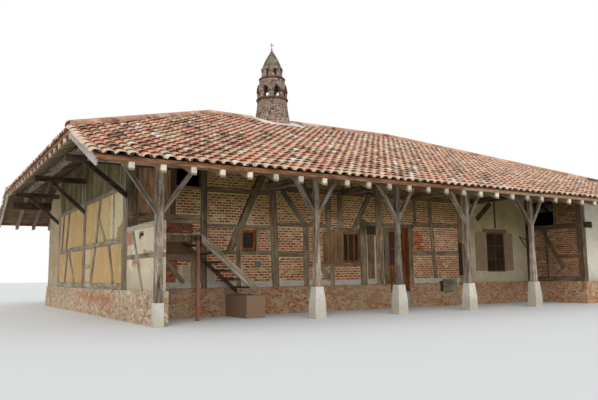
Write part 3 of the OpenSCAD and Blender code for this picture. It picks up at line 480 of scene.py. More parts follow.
@dataclass(frozen=True)
class ClayFinish:
    """Fired clay in many tones, one for each tile or brick."""

    name: str
    slot: str
    tones: tuple[tuple[float, Colour], ...]
    crust: Colour
    crust_share: float = 0.35
    soot: Colour = (0.10, 0.08, 0.07)
    soot_share: float = 0.6
    grit: float = 60.0
    painted_shade: Optional[PaintedShade] = None
    patches: tuple[Patch, ...] = ()
    nose: Optional[Colour] = None
    right_end_pale: Optional[Colour] = None
    mottle: float = 0.4

    def material(self) -> bpy.types.Material:
        """Builds the clay material.

        Returns:
            The material.
        """
        g = Graph(self.name)
        place = g.coords()
        colour = g.ramp(g.attribute("shade"), self.tones)
        mottle = g.noise(place, 9.0, 5, 0.65)
        colour = g.mix(g.spread(mottle, 0.40, 0.72, 0.0, self.mottle), colour, self.tones[0][1])
        crust = g.noise(place, 22.0, 6, 0.7)
        broad = g.noise(place, 0.9, 3, 0.5)
        crusted = g.maths("MULTIPLY", g.spread(crust, 0.52, 0.66), g.spread(broad, 0.35, 0.65, 0.2, 1.0))
        colour = g.mix(g.maths("MULTIPLY", crusted, self.crust_share), colour, self.crust)
        sooty = g.spread(g.noise(place, 3.1, 5, 0.65), 0.52, 0.70, 0.0, self.soot_share)
        colour = g.patched(place, g.mix(sooty, colour, self.soot), self.patches)
        if self.nose:
            colour = self.weathered(g, place, colour, crust)
        colour = g.shade_by_height(place, colour, self.painted_shade)
        height = g.maths("ADD", g.noise(place, self.grit, 4, 0.6), g.maths("MULTIPLY", crusted, 0.6))
        return g.finish(colour, 0.9, height, 0.003, 0.7)

    def weathered(self, g: Graph, place: object, colour: object, crust: object) -> bpy.types.NodeSocket:
        """Worn pale noses with a painted highlight, painted shadow under the next tile's nose, cream eaves
        and a paler right end.

        Args:
            g: Graph that the nodes go to.
            place: Object coordinates.
            colour: Colour of the tile by itself.
            crust: Noise of the lichen.

        Returns:
            The colour's socket, worn and with painted light.
        """
        run = g.maths("FRACT", g.axis(g.coords(Grain.UV), "X"))
        # Painted shadow under the next tile's nose: a dark band near each tile's upper end.
        nose_shadow = g.maths("MULTIPLY", g.spread(run, 0.19, 0.27), g.spread(run, 0.44, 0.46, 1.0, 0.0))
        colour = g.mix(g.maths("MULTIPLY", nose_shadow, 0.9), colour, shaded(self.soot, 0.3))
        side = g.maths("SUBTRACT", g.maths("ABSOLUTE", g.axis(place, "X")), ROOF_X - 0.10)
        eave = g.maths("SUBTRACT", g.maths("ABSOLUTE", g.axis(place, "Y")), ROOF_Y - 0.07)
        rim = g.spread(g.maths("MAXIMUM", side, eave), 0.0, 0.06)
        # Pale lip at each tile's nose: partly lichen wear, partly a painted highlight.
        lip_wear_and_highlight = g.spread(run, 0.04, 0.15, 1.0, 0.0)
        lip_wear_and_highlight = g.maths("MULTIPLY", lip_wear_and_highlight, g.spread(crust, 0.38, 0.56, 0.15, 0.75))
        colour = g.mix(g.maths("MAXIMUM", lip_wear_and_highlight, g.maths("MULTIPLY", rim, 0.85)), colour, self.nose)
        # Paler towards the right end of the roof.
        rightward = g.spread(g.axis(place, "X"), -7.0, 9.0, 0.0, 0.40)
        return g.mix(rightward, colour, self.right_end_pale)


@dataclass(frozen=True)
class RenderFinish:
    """Lime or earth render, stained and cracked."""

    name: str
    slot: str
    base: Colour
    stain: Colour
    bare: Colour
    bare_share: float = 0.4
    foot: Colour = (0.35, 0.32, 0.26)
    foot_top: float = 1.1
    depth: float = 0.006
    patches: tuple[Patch, ...] = ()
    painted_shade: Optional[PaintedShade] = None

    def material(self) -> bpy.types.Material:
        """Builds the render material.

        Returns:
            The material.
        """
        g = Graph(self.name)
        place = g.coords()
        broad = g.noise(place, 0.8, 6, 0.6)
        fine = g.noise(place, 14.0, 6, 0.65)
        colour = g.mix(g.spread(broad, 0.38, 0.66), self.base, self.stain)
        colour = g.mix(g.spread(fine, 0.42, 0.72, 0.0, 0.5), colour, shaded(self.stain, 0.72))
        bare = g.spread(g.noise(place, 1.7, 6, 0.7, 0.5), 0.56, 0.60)
        colour = g.mix(g.maths("MULTIPLY", bare, self.bare_share), colour, self.bare)
        wet = g.maths("SUBTRACT", g.axis(place, "Z"), g.maths("MULTIPLY", broad, 0.7))
        colour = g.mix(g.spread(wet, self.foot_top - 0.9, self.foot_top - 0.2, 0.65, 0.0), colour, self.foot)
        edges = g.cells(place, 1.3, "DISTANCE_TO_EDGE").outputs["Distance"]
        crack = g.spread(g.maths("ADD", edges, g.maths("MULTIPLY", fine, 0.02)), 0.008, 0.016, 1.0, 0.0)
        colour = g.patched(place, colour, self.patches)
        colour = g.mix(g.maths("MULTIPLY", crack, 0.45), colour, shaded(self.stain, 0.45))
        colour = g.shade_by_height(place, colour, self.painted_shade)
        height = g.maths("SUBTRACT", g.maths("ADD", fine, g.maths("MULTIPLY", bare, -0.5)), crack)
        return g.finish(colour, 0.92, height, self.depth, 0.8)


@dataclass(frozen=True)
class RubbleFinish:
    """Field stones and some bricks set in lime."""

    name: str
    slot: str
    stones: tuple[tuple[float, Colour], ...]
    lime: Colour
    size: float = 5.0
    lime_share: float = 0.4
    patches: tuple[Patch, ...] = ()

    def material(self) -> bpy.types.Material:
        """Builds the rubble material.

        Returns:
            The material.
        """
        g = Graph(self.name)
        place = g.coords()
        bent = self.bent(g, place)
        cell = g.cells(bent, self.size)
        edge = g.cells(bent, self.size, "DISTANCE_TO_EDGE").outputs["Distance"]
        pick = g.axis(cell.outputs["Color"], "X")
        colour = g.ramp(pick, self.stones)
        grain = g.noise(place, 18.0, 6, 0.65)
        colour = g.mix(g.spread(grain, 0.45, 0.75, 0.0, 0.6), colour, tone(110, 88, 66))
        joint = g.spread(g.maths("ADD", edge, g.maths("MULTIPLY", grain, 0.05)), 0.05, 0.10, 1.0, 0.0)
        smear = g.maths("MULTIPLY", g.spread(g.noise(place, 1.3, 4, 0.6), 0.45, 0.62), self.lime_share)
        cover = g.maths("MAXIMUM", joint, smear)
        colour = g.mix(cover, colour, g.mix(grain, self.lime, shaded(self.lime, 0.7)))
        colour = g.patched(place, colour, self.patches)
        specks = g.noise(place, 17.0, 4, 0.75)
        colour = g.mix(g.spread(specks, 0.56, 0.64, 0.0, 0.8), colour, tone(84, 62, 48))
        dark = g.noise(place, 0.9, 5, 0.6)
        colour = g.mix(g.spread(dark, 0.55, 0.75, 0.0, 0.4), colour, tone(120, 108, 84))
        height = g.maths("ADD", g.spread(edge, 0.0, 0.12), g.maths("MULTIPLY", grain, 0.5))
        return g.finish(colour, 0.92, height, 0.02, 0.7)

    def bent(self, g: Graph, place: object) -> bpy.types.NodeSocket:
        """Coordinates that make flat stones with crooked edges.

        Args:
            g: Graph that the nodes go to.
            place: Object coordinates.

        Returns:
            The bent coordinates' socket.
        """
        wander = g.add("ShaderNodeTexNoise")
        wander.inputs["Scale"].default_value = 2.5
        g.feed(wander.inputs["Vector"], place)
        shrink = g.add("ShaderNodeVectorMath", operation="SCALE")
        shrink.inputs["Scale"].default_value = 0.22
        g.feed(shrink.inputs[0], wander.outputs["Color"])
        bend = g.add("ShaderNodeVectorMath", operation="ADD")
        g.feed(bend.inputs[0], g.mapped(place, (1.0, 1.0, 1.7)))
        g.feed(bend.inputs[1], shrink.outputs[0])
        return bend.outputs[0]


@dataclass(frozen=True)
class TowerFinish:
    """Thin bricks laid round the tower, sooty and lichened."""

    name: str
    slot: str
    first: Colour
    second: Colour
    joint: Colour
    lichen: Colour
    course: float = 0.062
    length: float = 0.16
    radius: float = 0.5

    def material(self) -> bpy.types.Material:
        """Builds the brick material in coordinates that run round the tower.

        Returns:
            The material.
        """
        g = Graph(self.name)
        place = g.coords()
        local = g.mapped(place, (1, 1, 1), (-TOWER_X, 0, 0))
        angle = g.maths("ARCTAN2", g.axis(local, "Y"), g.axis(local, "X"))
        round_it = g.add("ShaderNodeCombineXYZ")
        g.feed(round_it.inputs[0], g.maths("MULTIPLY", angle, self.radius))
        g.feed(round_it.inputs[1], g.axis(place, "Z"))
        wob = g.noise(place, 6.0, 3, 0.5)
        g.feed(round_it.inputs[2], wob)
        brick = g.add("ShaderNodeTexBrick", offset=0.5)
        g.feed(brick.inputs["Vector"], round_it.outputs[0])
        for key, value in (("Scale", 1.0), ("Mortar Size", 0.008), ("Mortar Smooth", 0.3), ("Bias", 0.0),
                           ("Brick Width", self.length), ("Row Height", self.course)):
            brick.inputs[key].default_value = value
        for key, colour in (("Color1", self.first), ("Color2", self.second), ("Mortar", self.joint)):
            brick.inputs[key].default_value = (*colour, 1.0)
        fine = g.noise(place, 35.0, 5, 0.65)
        broad = g.noise(place, 3.0, 5, 0.6)
        colour = g.mix(g.spread(broad, 0.42, 0.68, 0.0, 0.5), brick.outputs["Color"], self.lichen)
        sooty = g.noise(place, 5.0, 5, 0.7, 0.4)
        colour = g.mix(g.spread(sooty, 0.48, 0.60, 0.0, 0.75), colour, shaded(self.second, 0.5))
        specks = g.noise(place, 13.0, 3, 0.7)
        colour = g.mix(g.spread(specks, 0.55, 0.61, 0.0, 0.85), colour, self.joint)
        colour = g.mix(g.spread(fine, 0.45, 0.75, 0.0, 0.6), colour, shaded(self.second, 0.45))
        height = g.maths("ADD", g.maths("SUBTRACT", 1.0, brick.outputs["Fac"]),
                         g.maths("MULTIPLY", fine, 0.6))
        return g.finish(colour, 0.92, height, 0.008, 0.8)


@dataclass(frozen=True)
class IronFinish:
    """Old iron, brown with rust."""

    name: str
    slot: str
    base: Colour = (0.07, 0.06, 0.055)
    rust: Colour = (0.20, 0.10, 0.06)

    def material(self) -> bpy.types.Material:
        """Builds the iron material.

        Returns:
            The material.
        """
        g = Graph(self.name)
        place = g.coords()
        spots = g.noise(place, 30.0, 5, 0.6)
        colour = g.mix(g.spread(spots, 0.40, 0.62), self.base, self.rust)
        g.shader.inputs["Metallic"].default_value = 0.4
        return g.finish(colour, g.spread(spots, 0.3, 0.7, 0.5, 0.85), spots, 0.0008)


@dataclass(frozen=True)
class PaneFinish:
    """Old glass, coloured with the painted shade of a dark room behind it."""

    name: str
    slot: str
    tint: Colour

    def material(self) -> bpy.types.Material:
        """Builds the glass material.

        Returns:
            The material.
        """
        g = Graph(self.name)
        place = g.coords()
        waves = g.noise(place, 5.0, 2, 0.4)
        # Painted shade of the unlit room behind the glass, in patches.
        room = g.spread(g.noise(place, 2.2, 4, 0.6), 0.4, 0.7)
        colour = g.mix(room, self.tint, shaded(self.tint, 0.4))
        made = g.finish(colour, g.spread(waves, 0.3, 0.7, 0.25, 0.4), waves, 0.003, 0.4)
        g.shader.inputs["Specular IOR Level"].default_value = 0.06
        return made


class Palette:
    """Every finish on the building, each made once."""

    # Painted shade under the gallery roof, darker with height.
    roof_shade = PaintedShade(2.3, 3.2, (0.46, 0.48, 0.29))
    grey_timber = TimberFinish(
        "weathered_oak", "grey_timber", tone(218, 202, 182), tone(148, 131, 112), tone(54, 44, 36))
    stair_timber = TimberFinish(
        "stair_oak", "grey_timber", tone(250, 240, 220), tone(200, 184, 158), tone(104, 90, 72),
        patches=(Patch("Y", (-5.70, 0.0), (-4.50, 1.99), tone(104, 76, 54), 0.85, 0.0),))
    landing_timber = TimberFinish(
        "landing_oak", "dark_timber", tone(176, 146, 116), tone(122, 98, 76), tone(58, 45, 34), patches=(
            Patch("X", (-7.93, 0.0), (-7.82, 1.86), tone(172, 116, 92), 0.8, 0.0),
            # Pale band on the landing's front edge: a painted highlight.
            Patch("X", (-9.2, 2.003), (-7.7, 2.06), tone(232, 216, 190), 0.8, 0.02)))
    strut_timber = TimberFinish(
        "sooty_oak", "dark_timber", tone(120, 100, 78), tone(72, 58, 44), tone(32, 25, 20))
    dark_timber = TimberFinish(
        "dark_oak", "dark_timber", tone(158, 136, 108), tone(112, 92, 70), tone(58, 45, 34))
    front_timber = TimberFinish(
        "front_oak", "dark_timber", tone(214, 192, 158), tone(156, 134, 104), tone(74, 58, 42),
        # Painted shade under the gallery roof, darker with height.
        painted_shade=PaintedShade(2.2, 3.2, (0.42, 0.39, 0.33)))
    sill = TimberFinish(
        "limed_sill", "dark_timber", tone(255, 252, 244), tone(252, 244, 228), tone(226, 212, 190))
    wall_timber = TimberFinish(
        "wall_oak", "grey_timber", tone(222, 208, 184), tone(174, 158, 132), tone(84, 70, 54),
        # Painted shade under the eaves, darker with height.
        painted_shade=PaintedShade(3.3, 4.0, (0.6, 0.58, 0.42)), patches=(
            Patch("Y", (-6.90, 2.09), (-4.56, 2.24), tone(216, 206, 188), 0.7, 0.03),))
    # Pale sawn rafter ends, with painted shade along the rafters under the eaves.
    rafter_wood = TimberFinish(
        "sawn_rafters", "rafter_wood", tone(248, 240, 226), tone(228, 216, 196), tone(160, 140, 114),
        deep=tone(130, 108, 84))
    boards = TimberFinish(
        "gable_boards", "grey_timber", tone(170, 156, 104), tone(116, 104, 62), tone(52, 44, 26))
    brown_boards = TimberFinish(
        "brown_boards", "shutter_wood", tone(196, 160, 122), tone(150, 116, 84), tone(84, 60, 42))
    shutter_boards = TimberFinish(
        "shutter_boards", "shutter_wood", tone(206, 166, 122), tone(166, 128, 90), tone(110, 80, 54),
        patches=(Patch("X", (2.5, 1.0), (4.8, 2.5), tone(206, 176, 142), 0.75, 0.0),))
    dark_boards = TimberFinish(
        "dark_boards", "shutter_wood", tone(112, 84, 58), tone(74, 54, 38), tone(34, 25, 18), patches=(
            Patch("X", (2.60, 2.38), (4.60, 2.60), tone(168, 134, 104), 0.85, 0.02),))
    fascia = TimberFinish(
        "eave_stain", "eave_board", tone(204, 150, 102), tone(164, 104, 62), tone(92, 54, 32),
        patches=(Patch("X", (-1.5, 2.8), (10.9, 3.6), tone(206, 180, 150), 0.6, 0.0),))
    barge = TimberFinish(
        "pale_barge", "eave_board", tone(230, 224, 216), tone(196, 188, 178), tone(134, 126, 118))
    orange = TimberFinish(
        "orange_frames", "orange_paint", tone(206, 142, 80), tone(174, 108, 50), tone(104, 56, 24), patches=(
            Patch("X", (3.1, 1.0), (4.3, 2.5), tone(128, 88, 60), 0.85, 0.0),
            Patch("X", (-5.72, 1.6), (-5.6, 2.4), tone(96, 56, 30), 0.7, 0.02)))
    door_wood = TimberFinish(
        "door_oak", "door_wood", tone(214, 144, 80), tone(182, 112, 52), tone(108, 62, 28))
    deck_x = TimberFinish(
        "roof_boards_along", "roof_tiles", tone(190, 164, 128), tone(142, 116, 86), tone(74, 58, 44),
        Grain.ALONG_X)
    deck_y = TimberFinish(
        "roof_boards_across", "roof_tiles", tone(190, 164, 128), tone(142, 116, 86), tone(74, 58, 44),
        Grain.ALONG_Y)
    inner_wood = TimberFinish(
        "inner_oak", "dark_timber", tone(158, 136, 108), tone(112, 92, 70), tone(58, 45, 34), Grain.ALONG_X)
    tiles = ClayFinish(
        "roof_clay", "roof_tiles", (
            (0.00, tone(64, 50, 46)), (0.15, tone(100, 78, 68)), (0.25, tone(168, 114, 92)),
            (0.38, tone(226, 142, 110)), (0.52, tone(238, 166, 138)), (0.66, tone(232, 190, 154)),
            (0.80, tone(208, 190, 148)), (0.93, tone(240, 216, 188)), (1.00, tone(252, 244, 232))),
        tone(206, 188, 150), 0.5, tone(84, 66, 58), 0.5, nose=tone(234, 208, 182), right_end_pale=tone(236, 200, 172),
        mottle=0.15)
    # Pans: clay tones set darker than the covers', partly their own tone, partly painted shade in the gaps
    # between covers.
    pans = ClayFinish(
        "pan_clay_shaded", "roof_tiles",
        ((0.0, tone(92, 64, 52)), (0.5, tone(158, 100, 76)), (1.0, tone(200, 138, 108))), tone(150, 138, 112),
        0.4)
    caps = ClayFinish(
        "ridge_clay", "ridge_tiles", (
            (0.0, tone(104, 72, 60)), (0.5, tone(204, 146, 118)), (1.0, tone(238, 208, 178))),
        tone(224, 204, 176), 0.4)
    brick = ClayFinish(
        "wall_brick", "brick_infill", (
            (0.0, tone(106, 58, 40)), (0.15, tone(148, 74, 46)), (0.45, tone(184, 90, 56)),
            (0.7, tone(208, 112, 74)), (0.9, tone(224, 148, 104)), (1.0, tone(226, 194, 150))),
        tone(240, 212, 172), 0.6, tone(112, 80, 58), 0.3, painted_shade=roof_shade)
    dark_brick = ClayFinish(
        "return_brick", "dark_brick", (
            (0.0, tone(84, 54, 42)), (0.4, tone(164, 98, 68)), (0.8, tone(210, 130, 92)),
            (1.0, tone(224, 172, 130))),
        tone(204, 178, 142), 0.45, tone(76, 56, 44), 0.45, painted_shade=roof_shade)
    mortar = RenderFinish(
        "lime_joints", "brick_infill", tone(252, 228, 188), tone(234, 202, 156), tone(210, 154, 110), 0.25,
        foot=tone(214, 186, 152), painted_shade=roof_shade, patches=(
            Patch("X", (-9.00, 1.55), (-8.60, 2.42), tone(184, 136, 66), 0.9, 0.08),
            # Dark patch: painted shadow under the landing.
            Patch("X", (-8.60, 1.55), (-7.50, 2.42), tone(120, 86, 56), 0.9, 0.10),
            Patch("X", (-9.00, 0.86), (-7.90, 1.46), tone(176, 98, 66), 0.85, 0.20),
            Patch("X", (-7.78, 0.86), (-6.90, 1.30), tone(204, 190, 166), 0.8, 0.06),
            Patch("X", (-1.96, 0.86), (-1.55, 2.20), tone(240, 222, 190), 0.8, 0.05),
            Patch("X", (-1.96, 2.20), (-1.55, 2.52), tone(50, 40, 34), 0.95, 0.0),
            Patch("X", (-0.12, 1.62), (0.34, 2.34), tone(216, 130, 72), 0.85, 0.15)))
    dark_mortar = RenderFinish(
        "dark_joints", "dark_brick", tone(216, 192, 156), tone(180, 152, 120), tone(130, 96, 72),
        painted_shade=roof_shade)
    daub = RenderFinish(
        "ochre_daub", "ochre_daub", tone(222, 188, 130), tone(202, 166, 108), tone(228, 210, 168), 0.4,
        tone(206, 170, 112), depth=0.004, patches=(
            Patch("Y", (-4.40, 2.02), (-2.90, 3.24), tone(234, 218, 172), 0.9),
            Patch("Y", (-2.60, 2.02), (-1.90, 3.24), tone(228, 208, 156), 0.6),
            Patch("Y", (-0.70, 0.90), (-0.05, 1.90), tone(226, 208, 168), 0.8),
            Patch("Y", (2.00, 0.90), (2.75, 1.86), tone(224, 176, 136), 0.8),
            Patch("Y", (-4.30, 2.00), (-3.60, 2.35), tone(150, 110, 72), 0.7, 0.2)),
        # Painted shade under the eaves, darker with height.
        painted_shade=PaintedShade(3.1, 3.5, (0.6, 0.56, 0.40)))
    pier = RenderFinish(
        "pier_render", "rubble_render", tone(206, 186, 150), tone(176, 152, 116), tone(222, 206, 174), 0.6)
    plaster = RenderFinish(
        "lime_plaster", "lime_plaster", tone(232, 226, 206), tone(218, 208, 184), tone(196, 176, 144), 0.4)
    shaded_plaster = RenderFinish(
        "gallery_plaster", "lime_plaster", tone(232, 222, 190), tone(206, 190, 150), tone(186, 166, 128), 0.4,
        # Painted shade under the gallery roof, darker with height.
        painted_shade=PaintedShade(1.6, 3.2, (0.52, 0.49, 0.31)))
    end_plaster = RenderFinish(
        "end_wall_plaster", "lime_plaster", tone(244, 232, 204), tone(222, 200, 162), tone(248, 242, 226),
        0.6, depth=0.01, patches=(
            Patch("Y", (-5.05, 1.78), (-4.60, 2.10), tone(200, 128, 100), 0.85, 0.1),
            Patch("Y", (-6.82, 1.62), (-6.62, 2.06), tone(192, 120, 94), 0.85, 0.06),
            Patch("Y", (-5.66, 1.88), (-5.50, 2.04), tone(66, 50, 38), 0.95, 0.03),
            Patch("Y", (-5.60, 1.28), (-5.00, 1.45), tone(188, 126, 92), 0.8, 0.1),
            Patch("Y", (-6.60, 1.50), (-5.80, 1.60), tone(150, 130, 106), 0.7, 0.1)))
    stone = RubbleFinish(
        "field_stone", "stone", (
            (0.0, tone(160, 122, 92)), (0.3, tone(230, 198, 158)), (0.5, tone(210, 136, 98)),
            (0.7, tone(184, 166, 140)), (1.0, tone(252, 236, 208))),
        tone(244, 222, 188), 7.0, 0.5, (
            Patch("Y", (-3.60, 0.36), (0.40, 0.58), tone(218, 124, 82), 0.6, 0.24),
            Patch("Y", (-3.20, 0.72), (1.20, 1.00), tone(190, 182, 166), 0.7, 0.06)))
    front_stone = RubbleFinish(
        "front_plinth", "stone", (
            (0.0, tone(166, 112, 80)), (0.35, tone(206, 130, 86)), (0.6, tone(224, 190, 150)),
            (0.8, tone(190, 108, 68)), (1.0, tone(216, 196, 164))),
        tone(226, 204, 168), 9.0, 0.45)
    dressed = RenderFinish(
        "dressed_stone", "stone", tone(236, 230, 216), tone(206, 198, 180), tone(244, 240, 230), 0.5,
        tone(190, 184, 164), 0.6,
        patches=(Patch("X", (-6.70, -0.1), (-6.00, 0.6), tone(150, 116, 88), 0.9, 0.0),))
    pad = RenderFinish("pad_stone", "stone", tone(250, 246, 238), tone(232, 226, 214), tone(244, 240, 230))
    vent = RenderFinish("vent_plate", "stone", tone(150, 150, 132), tone(120, 120, 104), tone(90, 88, 78))
    hatch = TimberFinish(
        "olive_boards", "shutter_wood", tone(196, 186, 152), tone(156, 146, 116), tone(88, 80, 62))
    slabs = RubbleFinish(
        "floor_slabs", "floor_stone", ((0.0, tone(168, 162, 150)), (1.0, tone(196, 190, 178))),
        tone(176, 170, 158), 2.0, 0.2)
    flashing = RenderFinish(
        "tower_mortar", "mortar", tone(250, 244, 234), tone(226, 216, 202), tone(196, 182, 160), 0.4,
        tone(214, 210, 200), 0.0)
    bedding = RenderFinish(
        "ridge_mortar", "mortar", tone(206, 174, 144), tone(188, 148, 120), tone(170, 130, 104), 0.4,
        tone(188, 168, 146), 0.0)
    tower = TowerFinish(
        "tower_brick", "tower_brick", tone(164, 116, 94), tone(82, 60, 52), tone(216, 200, 180),
        tone(160, 148, 126))
    # Ring bricks toned dark: painted shadow of the rings' overhang.
    shaded_rings = TowerFinish(
        "shaded_ring_brick", "tower_brick", tone(128, 98, 80), tone(78, 58, 48), tone(116, 98, 84),
        tone(120, 106, 88))
    spire = TowerFinish(
        "spire_brick", "spire_render", tone(172, 162, 136), tone(122, 112, 96), tone(104, 98, 88),
        tone(178, 172, 146), 0.07, 0.12, 0.25)
    iron = IronFinish("old_iron", "wrought_iron")
    pane = PaneFinish("window_pane", "window_pane", tone(72, 58, 50))
    door_pane = PaneFinish("door_pane", "door_pane", tone(96, 58, 50))

    made: dict[str, bpy.types.Material] = {}

    @classmethod
    def get(cls, finish: object) -> bpy.types.Material:
        """The material of a finish, built at its first use.

        Args:
            finish: Finish to look up.

        Returns:
            Its material.
        """
        if finish.name not in cls.made:
            cls.made[finish.name] = finish.material()
        return cls.made[finish.name]


def dress(finish: object, *nodes: str) -> None:
    """Gives CAD nodes a finish.

    Args:
        finish: Finish of all of them.
        *nodes: Names of the nodes.
    """
    for name in nodes:
        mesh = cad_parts[name].data
        mesh.materials.clear()
        mesh.materials.append(Palette.get(finish))
    log.info("dressed %s in %s", ", ".join(nodes), finish.name)


@dataclass
class Template:
    """A small shape ready to be copied many times."""

    points: np.ndarray
    loops: np.ndarray
    sizes: np.ndarray
    uvs: np.ndarray

    @classmethod
    def of(cls, bm: bmesh.types.BMesh) -> "Template":
        """Reads a bmesh, with a UV that runs along its X, and frees it.

        Args:
            bm: Shape to read.

        Returns:
            The template.
        """
        bm.normal_update()
        bm.verts.index_update()
        points = np.array([v.co[:] for v in bm.verts], np.float32)
        loops, sizes, uvs = [], [], []
        for face in bm.faces:
            flat = abs(face.normal.z) > abs(face.normal.y)
            sizes.append(len(face.verts))
            for vert in face.verts:
                loops.append(vert.index)
                uvs.append((vert.co.x, vert.co.y if flat else vert.co.z + 0.37))
        bm.free()
        return cls(points, np.array(loops, np.int32), np.array(sizes, np.int32), np.array(uvs, np.float32))


@dataclass
class Batch:
    """Copies of small shapes, joined into one mesh."""

    name: str
    points: list[np.ndarray] = field(default_factory=list)
    loops: list[np.ndarray] = field(default_factory=list)
    sizes: list[np.ndarray] = field(default_factory=list)
    uvs: list[np.ndarray] = field(default_factory=list)
    shades: list[np.ndarray] = field(default_factory=list)
    count: int = 0

    def stamp(self, shape: Template, places: Sequence[Matrix], shades: Sequence[float]) -> None:
        """Adds one copy of a shape for each place.

        Args:
            shape: Shape to copy.
            places: Where each copy goes.
            shades: Tone of each copy, 0 to 1.
        """
        if not places:
            return
        moves = np.array([[row[:] for row in m] for m in places], np.float32)
        n = len(moves)
        size = len(shape.points)
        at = np.einsum("nij,vj->nvi", moves[:, :3, :3], shape.points) + moves[:, None, :3, 3]
        self.points.append(at.reshape(-1, 3))
        starts = self.count + np.arange(n, dtype=np.int32)[:, None] * size
        self.loops.append((shape.loops[None, :] + starts).reshape(-1))
        self.sizes.append(np.tile(shape.sizes, n))
        slide = np.array([[int(73 * s) % 7, (13.7 * s) % 3.0] for s in shades], np.float32)
        self.uvs.append((shape.uvs[None] + slide[:, None]).reshape(-1, 2))
        self.shades.append(np.repeat(np.array(shades, np.float32), len(shape.sizes)))
        self.count += n * size

    def build(self, finish: object, body: str = "root", replaces: Iterable[str] = ()) -> bpy.types.Object:
        """Joins the copies and puts the piece on its body.

        Args:
            finish: Finish of the whole piece.
            body: Body that it rides on.
            replaces: CAD nodes that it stands for.

        Returns:
            The new object.
        """
        mesh = bpy.data.meshes.new(self.name)
        points, loops = np.concatenate(self.points), np.concatenate(self.loops)
        sizes = np.concatenate(self.sizes)
        mesh.vertices.add(len(points))
        mesh.vertices.foreach_set("co", points.reshape(-1))
        mesh.loops.add(len(loops))
        mesh.loops.foreach_set("vertex_index", loops)
        mesh.polygons.add(len(sizes))
        mesh.polygons.foreach_set("loop_start", np.concatenate([[0], np.cumsum(sizes)[:-1]]).astype(np.int32))
        mesh.polygons.foreach_set("loop_total", sizes)
        mesh.polygons.foreach_set("use_smooth", np.zeros(len(sizes), bool))
        mesh.uv_layers.new(name="grain").data.foreach_set("uv", np.concatenate(self.uvs).reshape(-1))
        mesh.attributes.new("shade", "FLOAT", "FACE").data.foreach_set("value", np.concatenate(self.shades))
        mesh.update(calc_edges=True)
        mesh.materials.append(Palette.get(finish))
        made = bpy.data.objects.new(self.name, mesh)
        bpy.context.scene.collection.objects.link(made)
        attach(made, body)
        if replaces:
            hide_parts(*replaces)
        log.info("%s: %d faces", self.name, len(sizes))
        return made


def cuboid(size: Sequence[float], cuts: int = 0, bevel: float = 0.0, rough: float = 0.0,
           seed: float = 0.0) -> bmesh.types.BMesh:
    """A block about its centre, cut along X, with worn edges.

    Args:
        size: Length, width and depth.
        cuts: Rings added along the length.
        bevel: Width of the worn edges.
        rough: How far the surface wanders.
        seed: Moves the wander, so that no two blocks match.

    Returns:
        The block as a bmesh.
    """
    bm = bmesh.new()
    bmesh.ops.create_cube(bm, size=1.0)
    bmesh.ops.scale(bm, vec=Vector(size), verts=bm.verts)
    if bevel:
        bmesh.ops.bevel(bm, geom=bm.edges[:], offset=bevel, offset_type="OFFSET", segments=1, profile=0.5,
                        affect="EDGES", material=-1)
    for i in range(cuts):
        x = size[0] * ((i + 1) / (cuts + 1) - 0.5)
        geom = bm.verts[:] + bm.edges[:] + bm.faces[:]
        bmesh.ops.bisect_plane(bm, geom=geom, plane_co=(x, 0, 0), plane_no=(1, 0, 0))
    if rough:
        for vert in bm.verts:
            here = vert.co
            long_wave = noise.noise_vector(Vector((here.x * 0.9 + seed, seed, 0.0)))
            short_wave = noise.noise_vector(here * 3.1 + Vector((seed, 0, seed)))
            shift = long_wave * 1.3 + short_wave * 0.7
            vert.co += Vector((0.0, shift.y, shift.z)) * rough
    return bm


def random_shade(dice: random.Random, middle: float, spread: float) -> float:
    """A tone between 0 and 1, near a middle one."""
    return min(1.0, max(0.0, dice.gauss(middle, spread)))


class Carpenter:
    """Lays timbers into a batch."""

    def __init__(self, name: str, rough: float = 0.006, seed: int = 1) -> None:
        """Starts a batch of timbers.

        Args:
            name: Name of the piece.
            rough: How far the surfaces wander.
            seed: Seed for tones and wander.
        """
        self.batch = Batch(name)
        self.rough = rough
        self.dice = random.Random(seed)

    def beam(self, start: Vector, end: Vector, width: float, depth: float, side: Vector,
             bevel: float = 0.008) -> None:
        """Lays one timber between two points.

        Args:
            start: Middle of one end.
            end: Middle of the other end.
            width: Size across, square to side.
            depth: Size along side.
            side: Direction of the depth.
            bevel: Worn edge.
        """
        along = end - start
        length = along.length
        along.normalize()
        side = (side - along * side.dot(along)).normalized()
        across = side.cross(along)
        turn = Matrix((along, across, side)).transposed().to_4x4()
        turn.translation = (start + end) / 2
        cuts = max(0, min(8, int(length / 0.5)))
        shape = cuboid((length, width, depth), cuts, min(bevel, width * 0.2, depth * 0.2), self.rough,
                       self.dice.uniform(0, 90))
        self.batch.stamp(Template.of(shape), [turn], [self.dice.random()])


@dataclass(frozen=True)
class WallPlane:
    """The face of a wall: a corner, the way along it and the way into it."""

    corner: Vector
    along: Vector
    inward: Vector

    def at(self, u: float, z: float, depth: float = 0.0) -> Vector:
        """The point at a distance along, a height and a depth, all in metres."""
        flat = self.corner + self.along * u + self.inward * depth
        return Vector((flat.x, flat.y, z))


